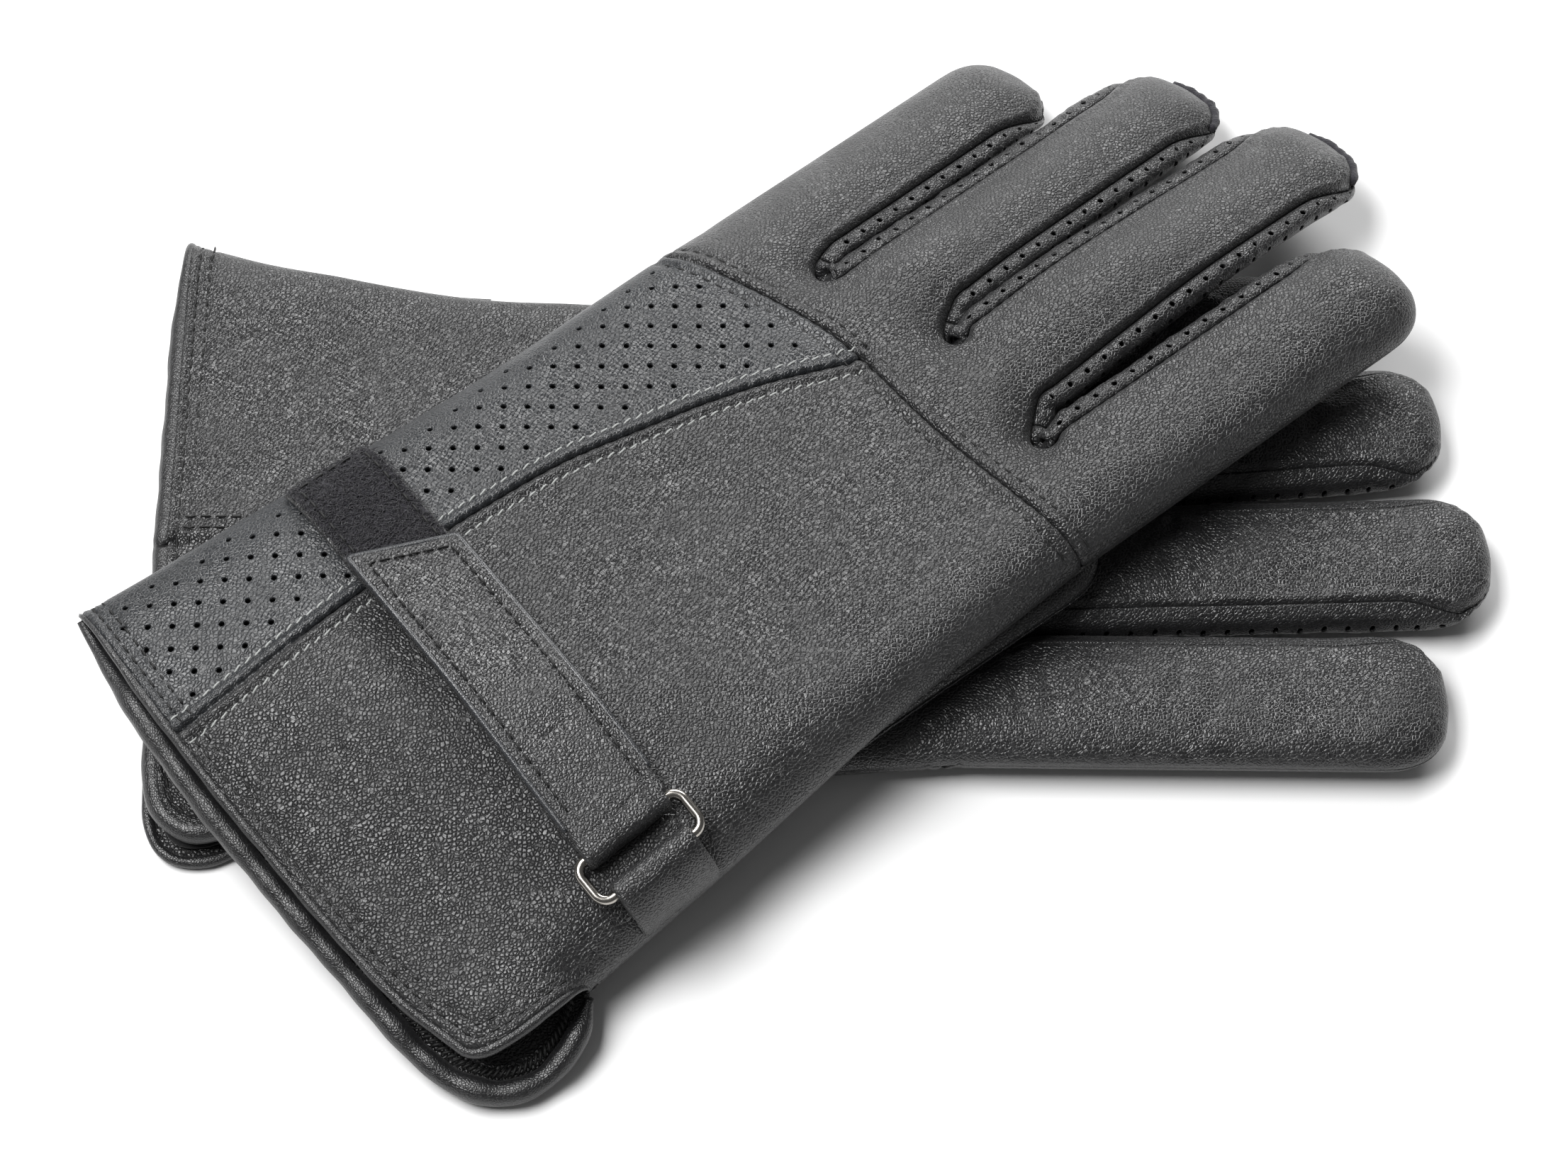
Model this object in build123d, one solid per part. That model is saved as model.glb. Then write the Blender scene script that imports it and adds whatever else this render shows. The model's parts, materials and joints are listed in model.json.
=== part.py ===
"""A pair of leather driving gloves that lie crossed, one on the other.

The right glove lies palm up, and the left glove lies across it with its back up.
Each wrist strap runs across the back of the hand, round a wire ring, and folds back onto itself.
Millimetres, +Z up, fingers towards +X. The origin is the middle of the pair's footprint, on the table.

Both gloves are cut from one pattern. In the pattern, u runs from the cuff to the fingertips and
v from the middle of the hand to the little finger. Heights are measured from the two outer faces
of a glove: "dorsal" counts outwards from its back, "palmar" outwards from its palm.
"""

import os
from math import cos, radians, sin

from build123d import *

# Leather and the space that it leaves
LEATHER = 1.5            # thickness of one panel
LINING = 0.6             # thickness of the lining
LINING_GAP = 0.05        # between leather and lining
SIDE_INSET = 1.5         # thickness of the side walls, seen from above
LEFT_THICKNESS = 12.0    # left glove, palm face to back face
RIGHT_TOP = 14.0         # height of the right glove's palm face over the table
THUMB_THICKNESS = 7.0
THUMB_WALL = 1.2
BODY_GAP = 0.2           # between a palm and the thumb on it
EDGE_BINDING = 2.2       # width of the rolled edge at the cuffs

# How the left glove hangs over the right one: flat on top, and sloping down on both sides
LEFT_PLATEAU = 22.0      # height of its palm face where it lies flat
PLATEAU_LOW_Y = -46.5
PLATEAU_HIGH_Y = 57.5
CUFF_SLOPE = 0.285       # fall per millimetre towards the cuff's thumb side
FINGER_SLOPE = 0.32      # fall per millimetre towards the fingertips

# How the right glove's back rises over its own strap, which lies under it
STRAP_RISE_START, STRAP_FLAT_START = -115.0, -94.0
STRAP_FLAT_END, STRAP_RISE_END = -51.0, -29.0

# Where each pattern's origin lies on the table, and the turn of its u axis
LEFT_ORIGIN, LEFT_TURN = (-100.0, -69.8), 38.0
RIGHT_ORIGIN, RIGHT_TURN = (-127.7, 10.6), -2.0

# Outline of the hand in the pattern, cuff to knuckles
ULNAR_SIDE = [(-3.5, 61), (27, 58), (83, 54.5), (123, 55), (162, 57)]
RADIAL_SIDE = [(4, -60), (28, -61), (64, -60), (116, -56), (160, -52), (175, -50)]
CUFF_SAG = 2.0           # how far the cuff's edge bows outwards
VENT_TOP = 31.0          # the slit on the thumb side of the cuff ends here
PALM_CUFF_REACH = 5.0    # how far the palm reaches past the back at the cuff

# Fingers: (root, tip, half width of the back, half width of the palm)
FINGERS = {
    "little": ((150, 45.3), (233, 55.5), 10.2, 11.5),
    "ring": ((150, 18.2), (260, 30.0), 9.8, 13.0),
    "middle": ((150, -9.0), (272, -1.0), 10.6, 13.7),
    "index": ((150, -38.5), (257, -38.0), 11.6, 14.3),
}
FINGER_ORDER = ["little", "ring", "middle", "index"]
CROTCHES = [(161, 33.5), (172, 5), (170, -25.5)]
CROTCH_GUSSET = 6.0      # length of the small piece at the bottom of each crotch
TIP_FILLET = 0.8         # rounding of a fingertip, as a share of its half width
TIP_CLOSURE = 12.0       # the side strips stop this far from the tip

# Seams that divide the back
PERFORATED_SEAM = [(-6, 29), (34, 29), (74, 26.5), (98, 23.5), (128, 16.5), (153, 9)]
KNUCKLE_SEAM = [(138, 62), (139, 52), (145, 40), (151, 23), (153, 9), (155, -16), (161, -58)]

# Thumbs, folded over the palm: (root, tip, half width)
LEFT_THUMB = ((103, -41), (170, -40), 14.0)
RIGHT_THUMB = ((72, -38), (128, -2), 14.0)

# Strap, ring and keeper
STRAP_LOW_U, STRAP_HIGH_U = 42.5, 62.5
STRAP_SEWN_V = 53.0      # sewn into the seam on the little-finger side
LEAF_END_LOW_V, LEAF_END_HIGH_V = 33.0, 24.0
STRAP_THICKNESS = 1.2
KEEPER_THICKNESS = 1.1
WIRE_RADIUS = 1.0
WIRE_CLEARANCE = 0.3
RING_LENGTH, RING_WIDTH = 25.0, 9.0     # along the wire's middle line
RING_CORNER = 2.5
RING_MIDDLE_U = 52.5
STRAP_BAR_V = -44.0
KEEPER_BAR_V = STRAP_BAR_V - RING_WIDTH
KEEPER_WIDTH = 19.0
KEEPER_TAIL = 8.0
STRAP_BASE_LOW = 0.05
STRAP_BASE_TOP = STRAP_BASE_LOW + STRAP_THICKNESS
BAR_HEIGHT = STRAP_BASE_TOP + WIRE_CLEARANCE + WIRE_RADIUS
LEAF_LOW = BAR_HEIGHT + WIRE_CLEARANCE + WIRE_RADIUS
LEAF_TOP = LEAF_LOW + STRAP_THICKNESS
PILE_THICKNESS = 1.1     # of the loop pile and of the hook patch
TAPE_INSET = 2.0         # pile and hooks stop short of the strap's edge
HOOK_LENGTH = 42.0

FAR = 400.0              # longer than the gloves in every direction


def left_base(y):
    """Height of the left glove's palm face."""
    low = max(0.0, PLATEAU_LOW_Y - y) * CUFF_SLOPE
    high = max(0.0, y - PLATEAU_HIGH_Y) * FINGER_SLOPE
    return LEFT_PLATEAU - low - high


def right_base(x):
    """Height of the right glove's back face, which rises over the strap under it."""
    rising = (x - STRAP_RISE_START) / (STRAP_FLAT_START - STRAP_RISE_START)
    falling = (STRAP_RISE_END - x) / (STRAP_RISE_END - STRAP_FLAT_END)
    share = max(0.0, min(1.0, rising, falling))
    return LEAF_TOP * share


class Glove:
    """Where one glove lies, and the height of its layers."""

    def __init__(self, side, origin, turn, thumb):
        self.side = side
        self.place = Location((*origin, 0), (0, 0, turn))
        self.thumb = thumb
        self.parts = {}

    def dorsal(self, height):
        """The level surface that stands out of the back by this height."""
        if self.side == "left":
            return lambda y: left_base(y) + LEFT_THICKNESS + height
        return lambda x: right_base(x) - height

    def palmar(self, height):
        """The level surface that stands out of the palm by this height."""
        if self.side == "left":
            return lambda y: left_base(y) - height
        return lambda x: RIGHT_TOP + height

    def slab(self, lower, upper):
        """Everything between two level surfaces."""
        if self.side == "left":
            stations = [-FAR / 2, PLATEAU_LOW_Y, PLATEAU_HIGH_Y, FAR / 2]
            plane = Plane.YZ
        else:
            stations = [-FAR / 2, STRAP_RISE_START, STRAP_FLAT_START, STRAP_FLAT_END]
            stations += [STRAP_RISE_END, FAR / 2]
            plane = Plane.XZ
        points = [(s, lower(s)) for s in stations] + [(s, upper(s)) for s in reversed(stations)]
        profile = plane * make_face(Polyline(*points, close=True))
        return extrude(profile, amount=FAR, both=True)

    def layer(self, outline, lower, upper):
        """The stretch of a slab that lies in a pattern outline."""
        block = extrude(Plane.XY.offset(-FAR / 4) * outline, amount=FAR / 2)
        return self.place * block & self.slab(lower, upper)

    def skin_frame(self, u, v, height):
        """A frame on the back at (u, v): x along the bars, y along v, z out of the glove."""
        at = (self.place * Location((u, v, 0))).position
        level = self.dorsal(height)
        turn = radians(self.place.orientation.Z)
        if self.side == "right":
            across = (-cos(turn), -sin(turn), 0)
            return Plane(origin=(at.X, at.Y, level(at.X)), x_dir=across, z_dir=(0, 0, -1))
        along_u = Vector(cos(turn), sin(turn), CUFF_SLOPE * sin(turn))
        normal = Vector(0, -CUFF_SLOPE, 1)
        return Plane(origin=(at.X, at.Y, level(at.Y)), x_dir=along_u, z_dir=normal)


def region(points):
    return make_face(Polyline(*points, close=True))


def finger_outline(root, tip, half):
    """A finger from above: straight sides and a squarish, rounded end."""
    along = (Vector(*tip) - Vector(*root)).normalized()
    side = Vector(-along.Y, along.X) * half
    corners = [Vector(*root) + side, Vector(*tip) + side, Vector(*tip) - side, Vector(*root) - side]
    shape = region([(c.X, c.Y) for c in corners])
    ends = shape.vertices().sort_by_distance(Vector(*tip))[:2]
    return fillet(ends, TIP_FILLET * half)


def hand_outline(which_half, cuff_reach=0.0, inset=0.0):
    """The whole outline of a back (2) or a palm (3), with its four fingers, or one inside it."""
    ulnar = [(u, v - inset) for u, v in ULNAR_SIDE]
    radial = [(u, v + inset) for u, v in RADIAL_SIDE]
    crotches = [(u - inset, v) for u, v in CROTCHES]
    cuff_low = (radial[0][0] - cuff_reach, radial[0][1] - cuff_reach)
    cuff_high = (ulnar[0][0] - cuff_reach, ulnar[0][1])
    middle_u = (cuff_low[0] + cuff_high[0]) / 2 - CUFF_SAG
    middle_v = (cuff_low[1] + cuff_high[1]) / 2
    cuff = ThreePointArc(cuff_low, (middle_u, middle_v), cuff_high)
    rest = Polyline(cuff_high, *ulnar[1:], *crotches, *reversed(radial[1:]), cuff_low)
    outline = make_face(Wire([*cuff.edges(), *rest.edges()]))
    for root, tip, *halves in FINGERS.values():
        shorter = (tip[0] - inset, tip[1])
        outline += finger_outline(root, shorter, halves[which_half - 2] - inset)
    return outline


def beyond_knuckles():
    """Everything on the finger side of the knuckle seam."""
    return region([*KNUCKLE_SEAM, (FAR, -FAR / 4), (FAR, FAR / 4)])


def beside_perforated_seam():
    """Everything on the little-finger side of the perforated panel's seam."""
    return region([*PERFORATED_SEAM, (KNUCKLE_SEAM[0][0] + 30, 9), (180, FAR / 4), (-20, FAR / 4)])


def cuff_edge(outline):
    """The rolled edge: what the outline loses when it moves away from the cuff."""
    moved = Pos(EDGE_BINDING, 0) * outline
    return (outline - moved) & region([(-30, -90), (VENT_TOP, -90), (VENT_TOP, 90), (-30, 90)])


def gap_region(number):
    """Between the middle lines of two neighbouring fingers."""
    low_finger = FINGERS[FINGER_ORDER[number + 1]]
    high_finger = FINGERS[FINGER_ORDER[number]]
    reach = min(low_finger[1][0], high_finger[1][0]) - TIP_CLOSURE
    corners = []
    for root, tip, *_ in (high_finger, low_finger):
        share = (reach - root[0]) / (tip[0] - root[0])
        corners.append([root, (reach, root[1] + (tip[1] - root[1]) * share)])
    return region([corners[0][0], corners[0][1], corners[1][1], corners[1][0]])


def add_panels(glove):
    """Back, perforated panel, finger backs, palm, side strips, gussets and rolled edges."""
    back = hand_outline(2)
    palm = hand_outline(3, PALM_CUFF_REACH)
    back_edge, palm_edge = cuff_edge(back), cuff_edge(palm)
    back_levels = glove.dorsal(-LEATHER), glove.dorsal(0)
    palm_levels = glove.palmar(-LEATHER), glove.palmar(0)
    inside = glove.dorsal(-LEATHER), glove.palmar(-LEATHER)

    fingers = beyond_knuckles()
    perforated = beside_perforated_seam()
    hand = back - back_edge - fingers
    glove.parts["finger_backs"] = glove.layer(back & fingers, *back_levels)
    glove.parts["back_panel"] = glove.layer(hand - perforated, *back_levels)
    glove.parts["perforated_panel"] = glove.layer(hand & perforated, *back_levels)
    glove.parts["back_cuff_binding"] = glove.layer(back_edge, *back_levels)
    glove.parts["palm_cuff_binding"] = glove.layer(palm_edge, *palm_levels)

    rim = back - hand_outline(2, inset=SIDE_INSET)
    rim -= region([(-30, -90), (VENT_TOP, -90), (VENT_TOP, -30), (8, -30), (8, 57), (-30, 57)])
    for number, (crotch_u, _) in enumerate(CROTCHES):
        u_shape = rim & gap_region(number)
        rim -= gap_region(number)
        end = crotch_u + CROTCH_GUSSET
        near = region([(0, -90), (end, -90), (end, 90), (0, 90)])
        outer, inner = FINGER_ORDER[number], FINGER_ORDER[number + 1]
        strips = (u_shape - near).faces().sort_by(Axis.Y)
        glove.parts[f"strip_{inner}_outer"] = glove.layer(strips[0], *inside)
        glove.parts[f"strip_{outer}_inner"] = glove.layer(strips[-1], *inside)
        glove.parts[f"crotch_{outer}_{inner}"] = glove.layer(u_shape & near, *inside)
    palm_sheet = glove.layer(palm - palm_edge, *palm_levels)
    glove.parts["palm_panel"] = palm_sheet + glove.layer(rim, *inside)


def add_lining(glove):
    """A thin sleeve just inside the leather, open at the cuff."""
    first = SIDE_INSET + LINING_GAP
    outline = hand_outline(2, inset=first)
    hollow = hand_outline(2, inset=first + LINING)
    hollow += region([(-30, -52), (20, -52), (20, 52), (-30, 52)])
    depth = -LEATHER - LINING_GAP
    sleeve = glove.layer(outline, glove.dorsal(depth), glove.palmar(depth))
    inner = depth - LINING
    glove.parts["lining"] = sleeve - glove.layer(hollow, glove.dorsal(inner), glove.palmar(inner))


def add_thumb(glove):
    """A flattened thumb stall on the palm, open at its root."""
    root, tip, half = glove.thumb
    low, high = BODY_GAP, BODY_GAP + THUMB_THICKNESS
    shell = glove.layer(finger_outline(root, tip, half), glove.palmar(low), glove.palmar(high))
    along = (Vector(*tip) - Vector(*root)).normalized()
    inner_root = Vector(*root) - along * (2 * THUMB_WALL)
    inner_tip = Vector(*tip) - along * THUMB_WALL
    inner = finger_outline((inner_root.X, inner_root.Y), (inner_tip.X, inner_tip.Y), half - THUMB_WALL)
    stall = glove.layer(inner, glove.palmar(low + THUMB_WALL), glove.palmar(high - THUMB_WALL))
    glove.parts["thumb"] = shell - stall


def strap_outline(low_v, end_low_v, end_high_v, inset=0.0):
    low_u, high_u = STRAP_LOW_U + inset, STRAP_HIGH_U - inset
    return region([(low_u, low_v), (high_u, low_v), (high_u, end_high_v), (low_u, end_low_v)])


def add_strap(glove):
    """The sewn strap with its loop pile, and the folded-back end with its hooks."""
    parts, dorsal = glove.parts, glove.dorsal
    base = strap_outline(STRAP_BAR_V, STRAP_SEWN_V, STRAP_SEWN_V)
    parts["strap_base"] = glove.layer(base, dorsal(STRAP_BASE_LOW), dorsal(STRAP_BASE_TOP))
    pile_low_v = STRAP_BAR_V + 8
    pile = strap_outline(pile_low_v, STRAP_SEWN_V - 5, STRAP_SEWN_V - 5, TAPE_INSET)
    pile_levels = dorsal(STRAP_BASE_TOP), dorsal(STRAP_BASE_TOP + PILE_THICKNESS)
    parts["strap_loop_pile"] = glove.layer(pile, *pile_levels)
    leaf = strap_outline(STRAP_BAR_V, LEAF_END_LOW_V, LEAF_END_HIGH_V)
    parts["strap_leaf"] = glove.layer(leaf, dorsal(LEAF_LOW), dorsal(LEAF_TOP))
    hook_low_v = LEAF_END_HIGH_V - HOOK_LENGTH
    end_low, end_high = LEAF_END_LOW_V - TAPE_INSET, LEAF_END_HIGH_V - TAPE_INSET
    hooks = strap_outline(hook_low_v, end_low, end_high, TAPE_INSET)
    parts["strap_hooks"] = glove.layer(hooks, dorsal(LEAF_LOW - PILE_THICKNESS), dorsal(LEAF_LOW))


def add_ring(glove):
    """A rectangular wire ring, and the leather keeper that holds its outer bar."""
    frame = glove.skin_frame(RING_MIDDLE_U, KEEPER_BAR_V, BAR_HEIGHT)
    path = Pos(0, RING_WIDTH / 2) * RectangleRounded(RING_LENGTH, RING_WIDTH, RING_CORNER)
    wire = path.wire()
    section = Plane(wire @ 0, z_dir=wire % 0) * Circle(WIRE_RADIUS)
    glove.parts["ring"] = frame * sweep(section, path=wire)

    outer = WIRE_RADIUS + WIRE_CLEARANCE + KEEPER_THICKNESS
    lower = -outer
    seam_top = lower + 2 * KEEPER_THICKNESS
    edges = [
        ThreePointArc((0, -outer), (outer, 0), (0, outer)),
        Polyline((0, outer), (-2, outer), (-KEEPER_TAIL + 2, seam_top), (-KEEPER_TAIL, seam_top)),
        Polyline((-KEEPER_TAIL, seam_top), (-KEEPER_TAIL, lower), (0, lower)),
    ]
    profile = make_face(Wire([e for line in edges for e in line.edges()]))
    profile -= Circle(WIRE_RADIUS + WIRE_CLEARANCE)
    keeper = extrude(Plane.YZ * profile, amount=KEEPER_WIDTH / 2, both=True)
    glove.parts["ring_keeper"] = frame * keeper


def build_glove(side, origin, turn, thumb):
    glove = Glove(side, origin, turn, thumb)
    add_panels(glove)
    add_lining(glove)
    add_thumb(glove)
    add_strap(glove)
    add_ring(glove)
    return {f"{side}_{name}": shape for name, shape in glove.parts.items()}


def write_parts(parts):
    os.makedirs("parts", exist_ok=True)
    for name, shape in parts.items():
        shape.label = name
        export_step(shape, f"parts/{name}.step")


PAIR = {
    **build_glove("right", RIGHT_ORIGIN, RIGHT_TURN, RIGHT_THUMB),
    **build_glove("left", LEFT_ORIGIN, LEFT_TURN, LEFT_THUMB),
}
write_parts(PAIR)
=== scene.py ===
"""Looks for a pair of leather driving gloves that lie crossed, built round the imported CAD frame.

Both gloves come from one flat pattern, in millimetres: u runs from the cuff to the fingertips, v from
the middle of the hand to the little finger, and h is the height over the palm's outer face.
Place.world() turns (u, v, h) into metres in the row frame.
"""

import json
import math

import bpy
import numpy as np
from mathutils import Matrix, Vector
from mathutils.geometry import delaunay_2d_cdt


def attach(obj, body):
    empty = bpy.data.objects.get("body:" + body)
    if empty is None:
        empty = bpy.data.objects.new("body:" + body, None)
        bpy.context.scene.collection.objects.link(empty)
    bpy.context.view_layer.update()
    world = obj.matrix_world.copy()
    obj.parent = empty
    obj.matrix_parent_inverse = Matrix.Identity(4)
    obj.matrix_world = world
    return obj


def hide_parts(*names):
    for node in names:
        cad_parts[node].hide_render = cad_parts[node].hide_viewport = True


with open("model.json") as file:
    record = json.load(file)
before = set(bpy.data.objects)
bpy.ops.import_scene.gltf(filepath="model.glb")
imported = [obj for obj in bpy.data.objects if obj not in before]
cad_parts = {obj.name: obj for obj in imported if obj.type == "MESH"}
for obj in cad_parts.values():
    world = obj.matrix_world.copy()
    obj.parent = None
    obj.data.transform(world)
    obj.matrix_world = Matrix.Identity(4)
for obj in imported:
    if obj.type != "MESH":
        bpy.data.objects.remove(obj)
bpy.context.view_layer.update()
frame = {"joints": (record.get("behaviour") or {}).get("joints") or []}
MM = 0.001

# ---------------------------------------------------------------- driving dimensions (mm)
LEATHER = 1.1                    # panel thickness
PRESSED_LEVEL = 1.2              # levels below this are pressed together above the floor
OUTLINE_STEP = 0.9               # between the points of an outline
SIDE_RADIUS = 13.0               # how far the rounded side reaches in over the back
LEFT_THICKNESS, RIGHT_THICKNESS = 12.0, 14.0
# per glove: height of the seam between back and palm, rounding of the palm, thickness at the cuff
SEAM_HEIGHT = {"left": 3.6, "right": 6.0}
PALM_RADIUS = {"left": 8.0, "right": 12.0}
CUFF_THICKNESS = {"left": 8.5, "right": 13.0}
PALM_MARGIN = {"left": 1.2, "right": 2.4}   # how far the palm stays inside a finger's outline
CUFF_TAPER = 44.0                # the glove is full from here on
ROLL_RADIUS = 1.1                # a panel's edge turns down over this radius
STITCH_INSET = 3.0               # a stitch line's distance from its seam
PUCKER_PITCH = 3.2               # the leather puckers at each stitch
HEM_RADIUS = {"back": 1.15, "palm": 2.5}
LINING_INSET, LINING_DEPTH, LINING_THICKNESS = 2.6, 2.0, 0.5
LEAF_STITCH_INSET = 2.4
PRESSED_FRAME = ((48.5, 56.5), (-22.0, 20.0))   # in u and v, a plain pressed line on the strap's end
HOLE_RADIUS, HOLE_PITCH, HOLE_CORNERS = 0.62, 4.9, 10
HOLE_MARGIN = 4.3                # from a panel's edge to the nearest hole's middle
HOLE_TURN = {"left": math.radians(-38), "right": math.radians(2)}
STRIP_MARGIN = 2.7               # how far a finger's back stays inside its outline, beside a strip
STRIP_WIDTH = 10.0               # across a side strip, flat
STRIP_LEATHER = 0.7
HEM_ROWS = (2.5, 4.9)            # the two rows of stitches along a cuff
LAP_ROWS = (2.6, 5.2)
OVERCAST_INSET = 3.4             # from the cuff's edge, and as far inside the palm
PALE_SLANT, OVERCAST_SLANT = 0.65, 1.8
# stitches: length, pitch and thread radius
PALE_STITCH = (2.15, 2.55, 0.25)
KNUCKLE_STITCH = (2.4, 3.0, 0.25)
HEM_STITCH = (2.5, 3.1, 0.25)
PILE_STITCH = (2.6, 3.3, 0.26)
STRAP_STITCH = (2.3, 2.9, 0.24)
OVERCAST_STITCH = (1.6, 1.15, 0.33)
# creases across a finger: distance from its root, depth
CREASES = ((24, 0.55), (31, 0.35), (56, 0.5), (64, 0.3), (86, 0.25))

LEFT_PLATEAU = 22.0              # the left glove's palm over the table, where it lies flat
PLATEAU_LOW_Y, PLATEAU_HIGH_Y = -46.5, 57.5
CUFF_SLOPE, FINGER_SLOPE = 0.285, 0.32
SLOPE_BLEND = 7.0
# the right glove's own strap lifts its underside: between these x, and this far
STRAP_RISE = (-115.0, -94.0, -51.0, -29.0)
STRAP_STACK = 5.05

RING_U, KEEPER_V, STRAP_BAR_V = 52.5, -53.0, -44.0
STRAP_LOW_U, STRAP_HIGH_U = 42.5, 62.5
LEAF_END_LOW_V, LEAF_END_HIGH_V = 33.0, 24.0
PILE_END_V = 55.5                # the loop pile runs out over the glove's side
STRAP_THICKNESS, PILE_THICKNESS, PILE_BACKING = 1.2, 1.1, 0.75
STRAP_BASE_LOW, LEAF_LOW = 0.05, 3.85
PILE_LOW = STRAP_BASE_LOW + STRAP_THICKNESS
STRAP_COARSENESS = {"left": 1.0, "right": 2.0}   # the right strap lies out of sight
RING_WIDTH, KEEPER_WIDTH = 9.0, 19.0
THUMBS = {"left": ((103, -41), (170, -40), 14.0), "right": ((72, -38), (128, -2), 14.0)}
THUMB_TOP, THUMB_LOW = 7.1, 0.4  # over the palm's face
# the little-finger side and the thumb side, from the cuff to the fingers
ULNAR_SIDE = {
    "left": [(-3.5, 62), (27, 59.8), (83, 57.2), (123, 58), (150, 60)],
    "right": [(-1.7, 66), (27, 58.8), (60, 53.4), (90, 53.4), (123, 55), (150, 56.5)],
}
RADIAL_SIDE = {
    "left": [(31, -60.2), (64, -58.8), (90, -57), (116, -55), (150, -53)],
    "right": [(31, -66), (64, -62), (90, -59.5), (116, -57.5), (150, -54)],
}
# the cuff's edge, from the little-finger side to the slit on the thumb side
CUFF_EDGE = {
    ("left", "back"): [
        (-3.5, 62), (-4.2, 30), (-3.2, 0), (-0.5, -35), (3.2, -52), (5.2, -57.5), (11, -60), (20, -60.6),
        (31, -60.2),
    ],
    ("left", "palm"): [
        (-3.5, 62), (-5.6, 44), (-6.6, 20), (-5.8, 0), (-3.4, -32), (-1.4, -50), (2.5, -60), (9, -65.6),
        (17, -66.8), (25, -64.4), (31, -60.2),
    ],
    ("right", "back"): [
        (-1.7, 66), (0, 35), (0.6, 5), (0.8, -25), (1.4, -55), (2.8, -69), (7.5, -75.5), (15, -76),
        (24, -71.5), (31, -66),
    ],
    ("right", "palm"): [
        (-1.7, 66), (-0.8, 35), (0.2, 10), (1.4, -20), (3, -52), (4.6, -65), (9.5, -71.2), (17, -71.6),
        (31, -66),
    ],
}
PERFORATED_SEAM = [(-3.6, 26.6), (34, 27.6), (62, 28.8), (80, 28.2), (98, 26), (128, 19), (153, 9.5)]
KNUCKLE_SEAM = [(139, 56), (145, 40), (151, 23), (153, 9.5), (154.5, -16), (160, -53)]
LAP_V, LAP_END_U = -9.5, 40.0      # a lapped seam in the right palm, from the cuff to here
# root, tip, half width, and whether a side strip runs on the little-finger side and the thumb side
FINGERS = {
    "left": [
        ((150, 47.1), (236.8, 58.8), 12.9, False, True),
        ((150, 18.2), (263, 32.6), 12.8, True, True),
        ((150, -9.0), (274.0, 0.8), 13.6, True, True),
        ((150, -38.5), (256.5, -37.6), 14.0, True, False),
    ],
    "right": [
        ((150, 45.3), (233, 55.5), 11.8, False, True),
        ((150, 18.2), (262, 31.0), 13.0, True, True),
        ((150, -9.0), (271, -1.5), 13.6, True, True),
        ((150, -38.5), (261.0, -36.0), 14.4, True, False),
    ],
}
FINGER_NAMES = ["little", "ring", "middle", "index"]
CROTCHES = [(161, 33.8), (172, 5.2), (170, -25.2)]


# ---------------------------------------------------------------- small maths
def smoothstep(x):
    x = np.clip(x, 0.0, 1.0)
    return x * x * (3 - 2 * x)


def soft_ramp(x):
    """0 below zero and x above it, with a rounded corner."""
    return (x + np.sqrt(x * x + SLOPE_BLEND**2)) / 2


def noise(points, size, seed, octaves=3):
    """Smooth value noise from -1 to 1 at 2-D points. size is the width of the largest bumps."""
    total, weight = np.zeros(len(points)), 1.0
    for octave in range(octaves):
        grid = np.random.default_rng(seed + octave).uniform(-1, 1, (64, 64))
        p = points / size * 2**octave + 7.3 * octave
        cell = np.floor(p).astype(int)
        f = p - cell
        f = f * f * (3 - 2 * f)
        i, j = cell[:, 0] % 64, cell[:, 1] % 64
        i1, j1 = (i + 1) % 64, (j + 1) % 64
        low = grid[i, j] * (1 - f[:, 0]) + grid[i1, j] * f[:, 0]
        high = grid[i, j1] * (1 - f[:, 0]) + grid[i1, j1] * f[:, 0]
        total += weight * (low * (1 - f[:, 1]) + high * f[:, 1])
        weight *= 0.5
    return total


def curve_through(points, step=1.0, closed=False):
    """Evenly spaced points on a smooth curve through given points."""
    p = np.array(points, float)
    ring = np.vstack([p[-1:], p, p[:2]]) if closed else np.vstack([2 * p[0] - p[1], p, 2 * p[-1] - p[-2]])
    spans = []
    for k in range(1, len(ring) - 2):
        a, b, c, d = ring[k - 1 : k + 3]
        t = np.linspace(0, 1, max(4, int(np.linalg.norm(c - b) / step * 2)), endpoint=False)[:, None]
        spans.append(
            0.5 * (2 * b + (c - a) * t + (2 * a - 5 * b + 4 * c - d) * t**2 + (3 * b - a - 3 * c + d) * t**3)
        )
    if not closed:
        spans.append(p[-1:])
    return resample(np.vstack(spans), step, closed)


def resample(line, step, closed=False):
    if closed:
        line = np.vstack([line, line[:1]])
    along = np.concatenate([[0], np.cumsum(np.linalg.norm(np.diff(line, axis=0), axis=1))])
    count = max(3, int(round(along[-1] / step)))
    at = np.linspace(0, along[-1], count + 1)
    made = np.stack([np.interp(at, along, line[:, k]) for k in range(line.shape[1])], axis=1)
    return made[:-1] if closed else made


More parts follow.
